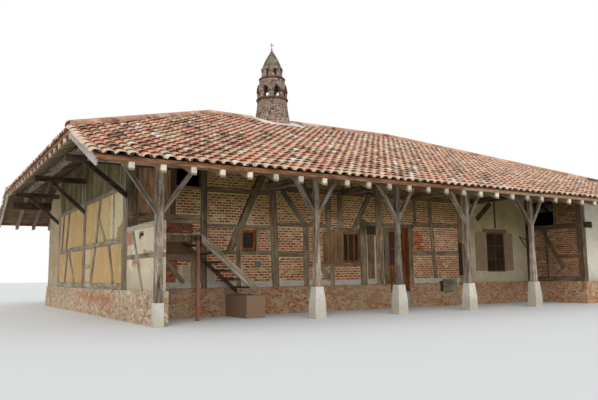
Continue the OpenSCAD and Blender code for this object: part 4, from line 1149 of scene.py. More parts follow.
FRONT = WallPlane(Vector((LEFT_X, WALL_Y, 0)), Vector((1, 0, 0)), Vector((0, 1, 0)))
LEFT = WallPlane(Vector((LEFT_X, WALL_Y, 0)), Vector((0, 1, 0)), Vector((1, 0, 0)))
LOW = WallPlane(Vector((LEFT_X, POST_Y, 0)), Vector((0, 1, 0)), Vector((1, 0, 0)))
BLOCK_FRONT = WallPlane(Vector((BLOCK_X, BLOCK_Y, 0)), Vector((1, 0, 0)), Vector((0, 1, 0)))
RETURN = WallPlane(Vector((BLOCK_X, BLOCK_Y, 0)), Vector((0, 1, 0)), Vector((1, 0, 0)))
RIGHT = WallPlane(Vector((RIGHT_X, BLOCK_Y, 0)), Vector((0, 1, 0)), Vector((-1, 0, 0)))
BACK = WallPlane(Vector((LEFT_X + 0.32, BACK_Y, 0)), Vector((1, 0, 0)), Vector((0, -1, 0)))


def roof_top(x: float, y: float) -> float:
    """Height of the roof's outer surface over a point.

    Args:
        x: Place along the house.
        y: Place across it.

    Returns:
        The height in metres.
    """
    sides = EAVE_Z + PITCH * (ROOF_Y - abs(y))
    left = LEFT_EAVE_Z + PITCH * (x + ROOF_X)
    right = EAVE_Z + PITCH * (ROOF_X - x)
    return min(sides, left, right, RIDGE_Z)


@dataclass
class WallFrame:
    """The timber lattice of one wall.

    Attributes:
        name: Name of the piece.
        plane: Face of the wall.
        rails: Upright and level timbers as left, bottom, right and top, in millimetres.
        braces: Leaning timbers as both ends and a width, in millimetres.
        finish: Finish of the timbers.
        replaces: CAD nodes that they stand for.
        depth: Depth of the frame, in metres.
        seed: Seed for tones and wander.
        sill: Finish of the bottom rail, where it has its own.
    """

    name: str
    plane: WallPlane
    rails: Sequence[Box]
    braces: Sequence[Brace]
    finish: object
    replaces: tuple[str, ...]
    depth: float = WALL_T
    seed: int = 3
    sill: Optional[object] = None

    def build(self) -> None:
        """Lays the rails, posts and braces, all sizes in millimetres."""
        frame_crew = Carpenter(self.name, 0.009, self.seed)
        sill_crew = Carpenter(f"{self.name}_sill", 0.009, self.seed + 1)
        lift = frame_crew.dice
        for u1, z1, u2, z2 in self.rails:
            crew = sill_crew if self.sill and z2 == SILL_TOP else frame_crew
            if z2 - z1 > u2 - u1:
                start, end, width = (u1 + u2, 2 * z1), (u1 + u2, 2 * z2), u2 - u1
                proud = -0.004 - lift.random() * 0.004
            else:
                start, end, width = (2 * max(u1, TUCK), z1 + z2), (2 * u2, z1 + z2), z2 - z1
                proud = -0.001 + lift.random() * 0.003
            self.lay(crew, [start[0] / 2, start[1] / 2], [end[0] / 2, end[1] / 2], width, proud)
        for x1, z1, x2, z2, width in self.braces:
            self.lay(frame_crew, [x1, z1], [x2, z2], width, -0.012 - lift.random() * 0.004)
        frame_crew.batch.build(self.finish, replaces=self.replaces)
        if sill_crew.batch.count:
            sill_crew.batch.build(self.sill)

    def lay(self, crew: Carpenter, start: list[float], end: list[float], width: float, proud: float) -> None:
        """Lays one timber in the wall, cut off under the rafters.

        Args:
            crew: Batch that the timber joins.
            start: Place along the wall and height of one end, in millimetres.
            end: The same for the other end.
            width: Width on the face, in millimetres.
            proud: How far the face lies behind the wall's, negative in front, in metres.
        """
        mm = 0.001
        depth = self.depth - 0.012 + proud
        middle = proud + depth / 2
        a = self.plane.at(start[0] * mm, start[1] * mm, middle)
        b = self.plane.at(end[0] * mm, end[1] * mm, middle)
        high = b if b.z > a.z else a
        limit = roof_top(high.x, high.y) - TILE_LAYER - DECK - RAFTER - 0.01
        if high.z > limit:
            high.z = limit
        crew.beam(a, b, width * mm, depth, self.plane.inward)


@dataclass
class Brickwork:
    """Courses of bricks in a wall face, cut round its timbers and openings.

    Attributes:
        name: Name of the piece.
        plane: Face of the wall.
        blocks: What the bricks keep clear of, as left, bottom, right and top in millimetres.
        extent: The stretch that is bricked, in the same way.
        finish: Finish of the bricks.
        slants: Leaning timbers as both ends and a width, in millimetres.
        set_back: How far the bricks lie behind the wall's face.
        depth: Depth of a brick.
        length: Length of a brick with its joint.
        course: Height of a course with its joint.
        joint: Width of a joint.
        gap: Mortar between a brick and a timber.
        module: Step in which cut bricks grow.
        seed: Seed for tones and lengths.
    """

    name: str
    plane: WallPlane
    blocks: Sequence[Box]
    extent: Box
    finish: object
    slants: Sequence[Brace] = ()
    set_back: float = 0.012
    depth: float = 0.08
    length: float = 0.168
    course: float = 0.070
    joint: float = 0.028
    gap: float = 0.022
    module: float = 0.02
    seed: int = 11

    def build(self) -> None:
        """Lays the courses."""
        dice = random.Random(self.seed)
        batch = Batch(self.name)
        bands: dict[int, Laid] = {}
        shortest, longest = 2, 7
        shapes = {n: Template.of(self.brick(n * self.module)) for n in range(shortest, longest + 1)}
        upright = Matrix((self.plane.along, Vector((0, 0, 1)), self.plane.inward)).transposed().to_4x4()
        u1, z1, u2, z2 = (v * 0.001 for v in self.extent)
        row = 0
        z = z1 + 0.01
        while z + self.course < z2:
            shift = (dice.uniform(0.2, 0.4) + 0.5 * (row % 2)) * self.length
            for a, b in self.free(u1, u2, z, z + self.course - self.joint):
                u = u1 + shift - self.length
                while u < b:
                    left, right = max(a, u), min(b, u + self.length - self.joint)
                    size = int(round((right - left) / self.module))
                    if size >= shortest:
                        size = min(size, longest)
                        wave = 0.012 * noise.noise(Vector((u * 1.3, z * 2.0, self.seed)))
                        at = self.plane.at((left + right) / 2, z + (self.course - self.joint) / 2 + wave,
                                           self.set_back + self.depth / 2 + dice.uniform(-0.005, 0.004))
                        tilt = Matrix.Rotation(dice.gauss(0, 0.03), 4, "Z")
                        places, shades = bands.setdefault(size, ([], []))
                        places.append(Matrix.Translation(at) @ upright @ tilt)
                        shades.append(random_shade(dice, 0.5, 0.3))
                    u += self.length
            z += self.course
            row += 1
        for size, (places, shades) in bands.items():
            batch.stamp(shapes[size], places, shades)
        batch.build(self.finish)

    def brick(self, length: float, worn: float = 0.005) -> bmesh.types.BMesh:
        """One brick with rubbed edges on its face.

        Args:
            length: Its length.
            worn: Width of the rubbed edges.

        Returns:
            The brick as a bmesh.
        """
        bm = cuboid((length, self.course - self.joint, self.depth))
        rim = [edge for edge in bm.edges if all(vert.co.z < 0 for vert in edge.verts)]
        bmesh.ops.bevel(bm, geom=rim, offset=worn, offset_type="OFFSET", segments=1, profile=0.5,
                        affect="EDGES", material=-1)
        return bm

    def leaning(self, low: float, high: float) -> list[Box]:
        """What the slants take from one course.

        Args:
            low: Bottom of the course.
            high: Its top.

        Returns:
            A box for each slant that crosses it, in millimetres.
        """
        found = []
        middle, half = (low + high) * 500, (high - low) * 500
        for x1, z1, x2, z2, width in self.slants:
            if min(z1, z2) - 40 < middle < max(z1, z2) + 40:
                lean = (x2 - x1) / (z2 - z1)
                reach = width / 2 * math.hypot(1, lean) + abs(lean) * half
                x = x1 + (middle - z1) * lean
                found.append((x - reach, min(z1, z2) - 60, x + reach, max(z1, z2) + 60))
        return found

    def free(self, u1: float, u2: float, low: float, high: float) -> list[Point]:
        """The stretches of a course that no timber or opening takes.

        Args:
            u1: Start of the course along the wall.
            u2: Its end.
            low: Its bottom.
            high: Its top.

        Returns:
            Start and end of each free stretch.
        """
        spans = [(u1, u2)]
        for b1, c1, b2, c2 in [*self.blocks, *self.leaning(low, high)]:
            left, bottom, right, top = (v * 0.001 for v in (b1, c1, b2, c2))
            if top - 0.02 < low or bottom + 0.02 > high:
                continue
            cut = []
            for a, b in spans:
                if right + self.gap < a or left - self.gap > b:
                    cut.append((a, b))
                    continue
                if left - self.gap > a:
                    cut.append((a, left - self.gap))
                if right + self.gap < b:
                    cut.append((right + self.gap, b))
            spans = cut
        return spans


class Slope(Enum):
    """The four slopes of the roof."""

    FRONT = "front"
    BACK = "back"
    LEFT = "left"
    RIGHT = "right"


@dataclass(frozen=True)
class Canal:
    """A tapered half-round tile.

    Attributes:
        low: Half its width at the end towards the eave.
        high: Half its width at the upper end.
        sides: Flat faces across it.
        thick: Its thickness.
        rise: Its height as a share of a half circle's.
        lift: Height of its middle line over the battens.
    """

    low: float
    high: float
    sides: int
    thick: float
    rise: float
    lift: float


@dataclass
class TileField:
    """Canal tiles on one slope: pans below, covers above.

    Attributes:
        slope: Slope that they lie on.
        column: Distance of the columns.
        tread: Distance of the rows up the slope.
        tile: Length of a tile.
        hang: How far the first row hangs over the eave.
        tilt: How much steeper than the slope a tile's head dips, in radians.
        rim: Tiles nearer than this to a hip or a verge are cut there.
        tower_clear: Bare ring round the tower's middle.
        cover: Sizes of an upper tile.
        pan: Sizes of a lower tile.
        seed: Seed for tones and wander.
    """

    slope: Slope
    column: float = 0.24
    tread: float = 0.32
    tile: float = 0.43
    hang: float = 0.05
    tilt: float = 0.062
    rim: float = 0.45
    tower_clear: float = 0.78
    cover: Canal = Canal(0.119, 0.098, 7, 0.022, 0.62, 0.025)
    pan: Canal = Canal(0.080, 0.094, 4, 0.012, 0.72, 0.076)
    seed: int = 5

    def lines(self) -> tuple[Vector, Vector, float, list[Point]]:
        """Where the slope lies.

        Returns:
            Origin at the eave's middle, the way along the eave, the run to the ridge in plan, and the slope's
            outline as (along, up) pairs in plan.
        """
        if self.slope in (Slope.FRONT, Slope.BACK):
            s = -1 if self.slope is Slope.FRONT else 1
            along = Vector((-s, 0, 0))
            corners = [(-ROOF_X, 0), (ROOF_X, 0), (RIDGE_RIGHT, ROOF_Y), (RIDGE_LEFT, ROOF_Y),
                       (-ROOF_X, ROOF_Y - VERGE_Y)]
            outline = [(x * -s, y) for x, y in corners]
            return Vector((0, s * ROOF_Y, EAVE_Z)), along, ROOF_Y, outline
        if self.slope is Slope.LEFT:
            return (Vector((-ROOF_X, 0, LEFT_EAVE_Z)), Vector((0, -1, 0)), RIDGE_LEFT + ROOF_X,
                    [(-VERGE_Y, 0), (VERGE_Y, 0), (0, RIDGE_LEFT + ROOF_X)])
        return (Vector((ROOF_X, 0, EAVE_Z)), Vector((0, 1, 0)), ROOF_X - RIDGE_RIGHT,
                [(-ROOF_Y, 0), (ROOF_Y, 0), (0, ROOF_X - RIDGE_RIGHT)])

    def half_pipe(self, shape: Canal) -> Template:
        """A tile that runs along +X, with its crown up.

        Args:
            shape: Its sizes.

        Returns:
            The tile.
        """
        bm = bmesh.new()
        a = bm.verts.new((0, shape.low, 0))
        b = bm.verts.new((self.tile, shape.high, 0))
        edge = bm.edges.new((a, b))
        bmesh.ops.spin(bm, geom=[a, b, edge], cent=(0, 0, 0), axis=(1, 0, 0), angle=math.pi,
                       steps=shape.sides)
        bmesh.ops.recalc_face_normals(bm, faces=bm.faces[:])
        bmesh.ops.solidify(bm, geom=bm.faces[:], thickness=shape.thick)
        bmesh.ops.recalc_face_normals(bm, faces=bm.faces[:])
        bmesh.ops.scale(bm, vec=Vector((1.0, 1.0, shape.rise)), verts=bm.verts)
        return Template.of(bm)

    def build(self) -> None:
        """Lays the pans and covers of the slope."""
        origin, along, run, outline = self.lines()
        dice = random.Random(self.seed)
        inward = Vector((0, 0, 1)).cross(along)
        up = (inward + Vector((0, 0, PITCH))).normalized()
        stretch = math.hypot(1, PITCH)
        normal = along.cross(up)
        flat = Matrix((up, -along, normal)).transposed().to_4x4()
        flip = Matrix.Rotation(math.pi, 4, "X")
        whole: dict[Canal, Laid] = {self.cover: ([], []), self.pan: ([], [])}
        cut: dict[Canal, Laid] = {self.cover: ([], []), self.pan: ([], [])}
        half = max(abs(p[0]) for p in outline)
        columns = int(2 * half / self.column)
        start = -columns * self.column / 2
        rows = int(run * stretch / self.tread) + 1
        for i in range(columns + 1):
            for part, shape in enumerate((self.cover, self.pan)):
                t = start + (i + 0.5 * part) * self.column
                wander = dice.uniform(-0.016, 0.016)
                for j in range(rows):
                    s = j * self.tread - self.hang
                    plan = (s + self.tile / 2) / stretch
                    room = self.inside(outline, t, plan)
                    if room < 0.0:
                        continue
                    sideways = t + wander + dice.uniform(-0.010, 0.010)
                    spot = origin + along * sideways + up * (s + dice.uniform(-0.022, 0.022))
                    sway = 0.5 + 0.5 * noise.noise(Vector((spot.x * 0.5, spot.y * 0.5, 3.1)))
                    if math.hypot(spot.x - TOWER_X, spot.y) < self.tower_clear:
                        continue
                    lift = -TILE_LAYER / stretch + 0.012 * sway + shape.lift
                    lay = (Matrix.Rotation(self.tilt + dice.gauss(0, 0.012), 4, "Y")
                           @ Matrix.Rotation(dice.gauss(0, 0.045), 4, "Z"))
                    shade = min(1.0, max(0.0, dice.gauss(0.50, 0.28) + 0.30 * (sway - 0.5)))
                    place = Matrix.Translation(spot + normal * lift) @ flat @ lay
                    places, shades = (cut if room < self.rim else whole)[shape]
                    places.append(place @ flip if part else place)
                    shades.append(shade)
        for label, shape, finish in (("covers", self.cover, Palette.tiles), ("pans", self.pan, Palette.pans)):
            made = Batch(f"{self.slope.value}_{label}")
            made.stamp(self.half_pipe(shape), *whole[shape])
            self.join_cut(made.build(finish), self.half_pipe(shape), cut[shape], finish)

    def edges(self, outline: list[Point]) -> list[tuple[Point, Point, int]]:
        """The edges of a slope's outline without its eave.

        Args:
            outline: Corners as (along, up) pairs in plan.

        Returns:
            Both ends of each edge, and 1 or -1 for the way that the outline turns.
        """
        pairs = list(zip(outline, outline[1:] + outline[:1]))
        sign = 1 if sum(a[0] * b[1] - b[0] * a[1] for a, b in pairs) > 0 else -1
        return [(a, b, sign) for a, b in pairs if abs(a[1]) > 1e-6 or abs(b[1]) > 1e-6]

    def inside(self, outline: list[Point], t: float, p: float) -> float:
        """Distance from the nearest slanted or upper edge, negative outside.

        Args:
            outline: Corners as (along, up) pairs in plan.
            t: Place along the eave.
            p: Place up the slope in plan.

        Returns:
            The distance in metres.
        """
        return min(sign * ((bx - ax) * (p - ay) - (by - ay) * (t - ax)) / math.hypot(bx - ax, by - ay)
                   for (ax, ay), (bx, by), sign in self.edges(outline))

    def join_cut(self, made: bpy.types.Object, shape: Template, laid: Laid, finish: object) -> None:
        """Cuts tiles at the slope's edges and joins them to the whole ones.

        Args:
            made: Piece with the whole tiles.
            shape: The tile.
            laid: Places and tones of those to cut.
            finish: Their finish.
        """
        if not laid[0]:
            return
        rim = Batch("rim")
        rim.stamp(shape, *laid)
        cut = rim.build(finish)
        origin, along, _, outline = self.lines()
        inward = Vector((0, 0, 1)).cross(along)
        corner = Vector((origin.x, origin.y, 0))
        bm = bmesh.new()
        bm.from_mesh(cut.data)
        for (ax, ay), (bx, by), sign in self.edges(outline):
            if abs(ax - bx) < 1e-6:
                continue
            out = along * (by - ay) * sign - inward * (bx - ax) * sign
            geom = bm.verts[:] + bm.edges[:] + bm.faces[:]
            bmesh.ops.bisect_plane(bm, geom=geom, plane_co=corner + along * ax + inward * ay,
                                   plane_no=out.normalized(), clear_outer=True)
        bm.to_mesh(cut.data)
        bm.free()
        bpy.context.view_layer.update()
        with bpy.context.temp_override(active_object=made, selected_editable_objects=[made, cut]):
            bpy.ops.object.join()


def solids_of(bm: bmesh.types.BMesh) -> list[list[bmesh.types.BMFace]]:
    """The faces of a mesh, one list for each solid in it.

    Args:
        bm: Mesh to sort.

    Returns:
        The faces of each solid.
    """
    left = set(bm.faces)
    groups = []
    for first in bm.faces[:]:
        if first not in left:
            continue
        left.discard(first)
        stack, group = [first], []
        while stack:
            face = stack.pop()
            group.append(face)
            for edge in face.edges:
                for other in edge.link_faces:
                    if other in left:
                        left.discard(other)
                        stack.append(other)
        groups.append(group)
    return groups


def grain_along(bm: bmesh.types.BMesh, dice: random.Random) -> None:
    """Gives each solid of a mesh a tone, and a UV that runs along its longest edge.

    Args:
        bm: Mesh of timbers.
        dice: Source of the tones and of the grain's place.
    """
    uv = bm.loops.layers.uv.new("grain")
    shade = bm.faces.layers.float.new("shade")
    for group in solids_of(bm):
        spine = max((e for f in group for e in f.edges), key=lambda e: e.calc_length())
        along = (spine.verts[1].co - spine.verts[0].co).normalized()
        across = along.orthogonal().normalized()
        third = along.cross(across)
        value, slide = dice.random(), dice.uniform(0, 9)
        for face in group:
            face[shade] = value
            use = across if abs(face.normal.dot(across)) < abs(face.normal.dot(third)) else third
            for loop in face.loops:
                loop[uv].uv = (loop.vert.co.dot(along) + slide, loop.vert.co.dot(use) + slide)


def copy_solids(node: str, name: str, finish: object, bevel: float, body: str = "root",
                seed: int = 1) -> None:
    """Dresses a node of plain timbers: each gets worn edges, a tone and a grain along its length.

    Args:
        node: CAD node whose solids are timbers.
        name: Name of the new piece.
        finish: Wood finish.
        bevel: Worn edge.
        body: Body that the piece rides on.
        seed: Seed for the tones.
    """
    bm = bmesh.new()
    bm.from_mesh(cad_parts[node].data)
    bmesh.ops.remove_doubles(bm, verts=bm.verts[:], dist=1e-5)
    bmesh.ops.dissolve_limit(bm, angle_limit=0.02, verts=bm.verts[:], edges=bm.edges[:])
    sharp = [e for e in bm.edges if e.is_manifold and e.calc_face_angle(0) > 0.3]
    if bevel:
        bmesh.ops.bevel(bm, geom=sharp, offset=bevel, offset_type="OFFSET", segments=1, profile=0.5,
                        affect="EDGES", material=-1, clamp_overlap=True)
    grain_along(bm, random.Random(seed))
    mesh = bpy.data.meshes.new(name)
    bm.to_mesh(mesh)
    bm.free()
    mesh.materials.append(Palette.get(finish))
    made = bpy.data.objects.new(name, mesh)
    bpy.context.scene.collection.objects.link(made)
    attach(made, body)
    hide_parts(node)
    log.info("%s stands for %s", name, node)


# Openings of the front wall as left, bottom, width and height, in millimetres
SMALL_WINDOW = (3050, 1700, 450, 560)
BARRED_WINDOW = (6370, 1390, 630, 880)
LOFT_OPENING = (1230, 3340, 670, 520)
LOFT_HATCH = (270, 2590, 800, 1130)
DOOR_X, DOOR_W, DOOR_TOP = 8100, 786, 2450

# Top of the bottom rail on every wall, in millimetres
SILL_TOP = 880


def as_box(opening: tuple[int, int, int, int]) -> Box:
    """An opening's edges from its corner and size."""
    left, bottom, width, height = opening
    return (left, bottom, left + width, bottom + height)


@dataclass
class FrontWall:
    """The timbered and bricked wall under the gallery."""

    rails: list[Box] = field(default_factory=lambda: [
        (0, 720, 260, 4102), (1080, 2590, 1230, 4102), (1900, 720, 2080, 4102), (1650, 720, 1790, 1430),
        (2920, 720, 3050, 2270), (3500, 1590, 3580, 2270), (5000, 720, 5190, 2370), (5770, 2250, 5960, 3370),
        (6200, 2270, 6370, 3370), (5890, 720, 6060, 1270), (7000, 720, 7240, 2650), (7610, 720, 7870, 4102),
        (7900, 720, 8100, 2570), (8886, 720, 9086, 2570), (9130, 2570, 9250, 3370), (11070, 720, 11270, 4102),
        (0, 720, 8100, 880), (8886, 720, 11270, 880), (0, 2370, 1900, 2590), (0, 1430, 1900, 1590),
        (1080, 3270, 1900, 3340), (1080, 3860, 1900, 3950), (260, 3720, 1080, 3830), (2080, 2270, 4000, 2390),
        (2080, 1590, 4000, 1700), (2080, 3220, 3950, 3350), (4100, 2370, 5800, 2490),
        (4100, 1540, 5000, 1680), (5190, 1270, 7000, 1390), (6200, 2270, 7000, 2400),
        (4050, 3370, 7610, 3520), (7240, 2500, 7610, 2610), (7870, 3370, 11070, 3520),
        (7870, 2450, 9130, 2570), (9080, 2530, 11070, 2650), (9080, 1600, 11070, 1740)])
    braces: list[Brace] = field(default_factory=lambda: [
        (4100, 720, 4000, 4102, 220), (2700, 1640, 3900, 4102, 190), (5080, 2430, 4330, 3370, 170),
        (5560, 1330, 5890, 880, 140), (6760, 2330, 7400, 3430, 170), (900, 1500, 1450, 880, 110),
        (10010, 880, 9820, 3370, 140)])

    def build(self) -> None:
        """Builds the timbers, the bricks and the plain panels."""
        WallFrame("front_timbers", FRONT, self.rails, self.braces, Palette.front_timber,
                  ("front_frame_left", "front_frame_right"), sill=Palette.sill).build()
        holes = [as_box(o) for o in (SMALL_WINDOW, BARRED_WINDOW, LOFT_OPENING, LOFT_HATCH)]
        holes.append((DOOR_X - 40, 0, DOOR_X + DOOR_W + 40, DOOR_TOP))
        panels = [(0, 1590, 1900, 2060), (0, 880, 260, 1430), (1300, 880, 2300, 1300),
                  (7240, 880, 7610, 2500)]
        Brickwork("front_bricks", FRONT, list(self.rails) + holes + panels, (200, 880, 11100, 4090),
                  Palette.brick, self.braces).build()
        copy_solids("front_beams", "front_plate", Palette.front_timber, 0.012)
        copy_solids("plaster_wall_timbers", "lintel_timbers", Palette.dark_boards, 0.004)
        dress(Palette.mortar, "front_infill")
        dress(Palette.shaded_plaster, "plaster_wall")


@dataclass
class LeftWall:
    """The gable wall on the left, in earth panels, with its boards and pier."""

    board_low: float = 3.28
    board_top: float = 4.47
    board_thick: float = 0.024
    board_start: float = 0.40
    board_end: float = 8.58
    mid_post: Point = (4.52, 4.76)
    rails: list[Box] = field(default_factory=lambda: [
        (180, 720, 8710, 880), (180, 1870, 8710, 2010), (180, 3200, 8710, 3330), (180, 720, 420, 4800),
        (4510, 720, 4770, 4800), (8560, 720, 8710, 4800), (3842, 1300, 4510, 1420)])
    braces: list[Brace] = field(default_factory=lambda: [
        (7150, 1870, 7460, 880, 110), (6850, 1870, 5960, 880, 120), (3200, 1870, 3680, 880, 130),
        (1690, 1870, 1220, 880, 110), (7860, 3200, 8090, 2010, 90), (6960, 3200, 7330, 2010, 120),
        (2720, 3200, 3140, 2010, 140), (2900, 2650, 2100, 2010, 110), (1310, 3200, 1290, 2010, 60)])

    def build(self) -> None:
        """Builds the timbers and the boards."""
        crew_rails = self.rails + [(180, 4465, 8710, 4640)]
        WallFrame("left_timbers", LEFT, crew_rails, self.braces, Palette.wall_timber, ("left_frame",),
                  seed=7).build()
        self.boards()
        dress(Palette.daub, "left_infill")
        dress(Palette.pier, "corner_pier")

    def boards(self) -> None:
        """Upright boards of many widths under the roof."""
        dice = random.Random(23)
        crew = Carpenter("gable_boards", 0.002, 9)
        u = self.board_start
        while u < self.board_end:
            width = dice.uniform(0.14, 0.24)
            if u + width < self.mid_post[0] or u > self.mid_post[1]:
                low = self.board_low + dice.uniform(-0.02, 0.02)
                back = 0.018 + dice.uniform(0, 0.01)
                middle = u + width / 2
                crew.beam(LEFT.at(middle, low, back), LEFT.at(middle, self.board_top, back), width - 0.008,
                          self.board_thick, LEFT.inward, 0.002)
            u += width
        crew.batch.build(Palette.boards, replaces=("left_boards",))


@dataclass
class GalleryEnd:
    """The low wall that closes the gallery's left end."""

    rails: list[Box] = field(default_factory=lambda: [(80, 2110, 2358, 2220), (80, 1440, 2358, 1540)])
    braces: list[Brace] = field(default_factory=lambda: [(1886, 2110, 1085, 720, 110)])

    def build(self) -> None:
        """Builds the timbers and dresses the plaster."""
        WallFrame("end_wall_timbers", LOW, self.rails, self.braces, Palette.wall_timber,
                  ("low_wall_timbers",), 0.2, 13).build()
        dress(Palette.end_plaster, "low_wall")


@dataclass
class RightBlock:
    """The block that projects at the right, with the walls behind."""

    rails: list[Box] = field(default_factory=lambda: [
        (0, 720, 2258, 880), (0, 720, 210, 4400), (2108, 720, 2258, 4600), (0, 2500, 2258, 2670),
        (970, 2670, 1090, 3510), (0, 3510, 2258, 3620), (0, 1500, 1000, 1600), (1380, 720, 1470, 2500)])
    braces: list[Brace] = field(default_factory=lambda: [(1590, 2560, 790, 1130, 120)])
    opening: Box = (1090, 2670, 1990, 3510)

    def build(self) -> None:
        """Builds the return wall and the plain bays."""
        WallFrame("return_timbers", RETURN, self.rails, self.braces, Palette.dark_timber, ("return_frame",),
                  seed=17).build()
        Brickwork("return_bricks", RETURN, list(self.rails) + [self.opening], (200, 880, 2110, 3500),
                  Palette.dark_brick, self.braces, seed=19).build()
        dress(Palette.dark_mortar, "return_infill")
        dress(Palette.plaster, "block_front_wall")
        self.bays("right_timbers", RIGHT, 12.898, 5, 3.58, "right_frame", "right_bricks", 31)
        self.bays("back_timbers", BACK, 18.1, 7, 3.82, "back_frame", "back_bricks", 37)
        dress(Palette.mortar, "right_infill", "back_infill")

    def bays(self, name: str, plane: WallPlane, length: float, bays: int, top: float, node: str, bricks: str,
             seed: int) -> None:
        """Builds a wall of like bays with a brace in every other one.

        Args:
            name: Name of the timbers.
            plane: Face of the wall.
            length: Length of the wall, in metres.
            bays: How many bays it has.
            top: Height of its top, in metres.
            node: CAD node that the timbers stand for.
            bricks: Name of the bricks.
            seed: Seed for tones and wander.
        """
        rails: list[Box] = [(0, 720, length * 1000, 880), (0, 2370, length * 1000, 2490),
                            (0, top * 1000 - 200, length * 1000, top * 1000)]
        step = (length * 1000 - 200) / bays
        rails += [(i * step, 720, i * step + 200, top * 1000) for i in range(bays + 1)]
        braces = [(i * step + 300, 2370, i * step + step - 200, 880, 140) for i in range(0, bays, 2)]
        WallFrame(name, plane, rails, braces, Palette.dark_timber, (node,), seed=seed).build()
        Brickwork(bricks, plane, rails, (200, 880, length * 1000 - 200, top * 1000 - 200), Palette.brick,
                  braces, seed=seed + 1).build()


@dataclass
class Gallery:
    """Posts, stones, braces and beams of the gallery."""

    def build(self) -> None:
        """Dresses the gallery's timbers and stones."""
        copy_solids("gallery_posts", "posts", Palette.grey_timber, 0.012, seed=2)
        copy_solids("gallery_braces", "post_braces", Palette.grey_timber, 0.010, seed=3)
        copy_solids("gallery_plate", "eave_plate", Palette.grey_timber, 0.012, seed=4)
        copy_solids("gallery_ties", "tie_beams", Palette.dark_timber, 0.012, seed=5)
        copy_solids("eave_brackets", "outriggers", Palette.strut_timber, 0.010, seed=6)
        copy_solids("eave_purlin", "crooked_purlin", Palette.grey_timber, 0.010, seed=7)
        copy_solids("stair", "stair_timbers", Palette.stair_timber, 0.004, seed=8)
        copy_solids("landing", "landing_timbers", Palette.landing_timber, 0.006, seed=9)
        dress(Palette.dressed, "gallery_stones")


@dataclass
class Plinth:
    """Stonework at the ground, and the floor."""

    def build(self) -> None:
        """Dresses the plinths and the floor."""
        dress(Palette.stone, "plinth_left", "plinth_back", "plinth_right")
        dress(Palette.front_stone, "plinth_front")
        dress(Palette.slabs, "door_step", "ground_floor")


@dataclass
class RoofTimbers:
    """Rafters, eave boards and what lies under the tiles."""

    fascia_high: float = 0.065
    fascia_thick: float = 0.03
    barge_high: float = 0.1748
    barge_thick: float = 0.045
    barge_drop: float = 0.095
    lap: float = 0.004

    def build(self) -> None:
        """Dresses the roof's timbers."""
        copy_solids("rafters", "rafter_tails", Palette.rafter_wood, 0.0, seed=10)
        dress(Palette.inner_wood, "ridge_and_hips", "roof_trusses")
        dress(Palette.deck_x, "roof_front", "roof_back")
        dress(Palette.deck_y, "roof_left", "roof_right")
        self.eaves()

    def eaves(self) -> None:
        """Fascias along the eaves, bargeboards on the left verges."""
        crew = Carpenter("fascias", 0.003, 41)
        high, thick = self.fascia_high, self.fascia_thick
        drop = TILE_LAYER + DECK + high / 2 - self.lap
        for s in (-1, 1):
            y = s * (ROOF_Y - thick / 2)
            crew.beam(Vector((-ROOF_X, y, EAVE_Z - drop)), Vector((ROOF_X, y, EAVE_Z - drop)), high, thick,
                      Vector((0, 1, 0)), 0.003)
        for x, half, z in ((ROOF_X - thick / 2, ROOF_Y, EAVE_Z), (-ROOF_X + thick / 2, VERGE_Y, LEFT_EAVE_Z)):
            crew.beam(Vector((x, -half, z - drop)), Vector((x, half, z - drop)), high, thick,
                      Vector((1, 0, 0)), 0.003)
        crew.batch.build(Palette.fascia, replaces=("eave_boards",))
        crew = Carpenter("bargeboards", 0.003, 43)
        x = -ROOF_X + self.barge_thick / 2
        drop = TILE_LAYER + DECK + self.barge_drop
        for s in (-1, 1):
            low = Vector((x, s * (ROOF_Y - 0.03), EAVE_Z - drop))
            high_end = Vector((x, s * VERGE_Y, LEFT_EAVE_Z - drop))
            crew.beam(low, high_end, self.barge_high, self.barge_thick, Vector((1, 0, 0)), 0.004)
        crew.batch.build(Palette.barge)


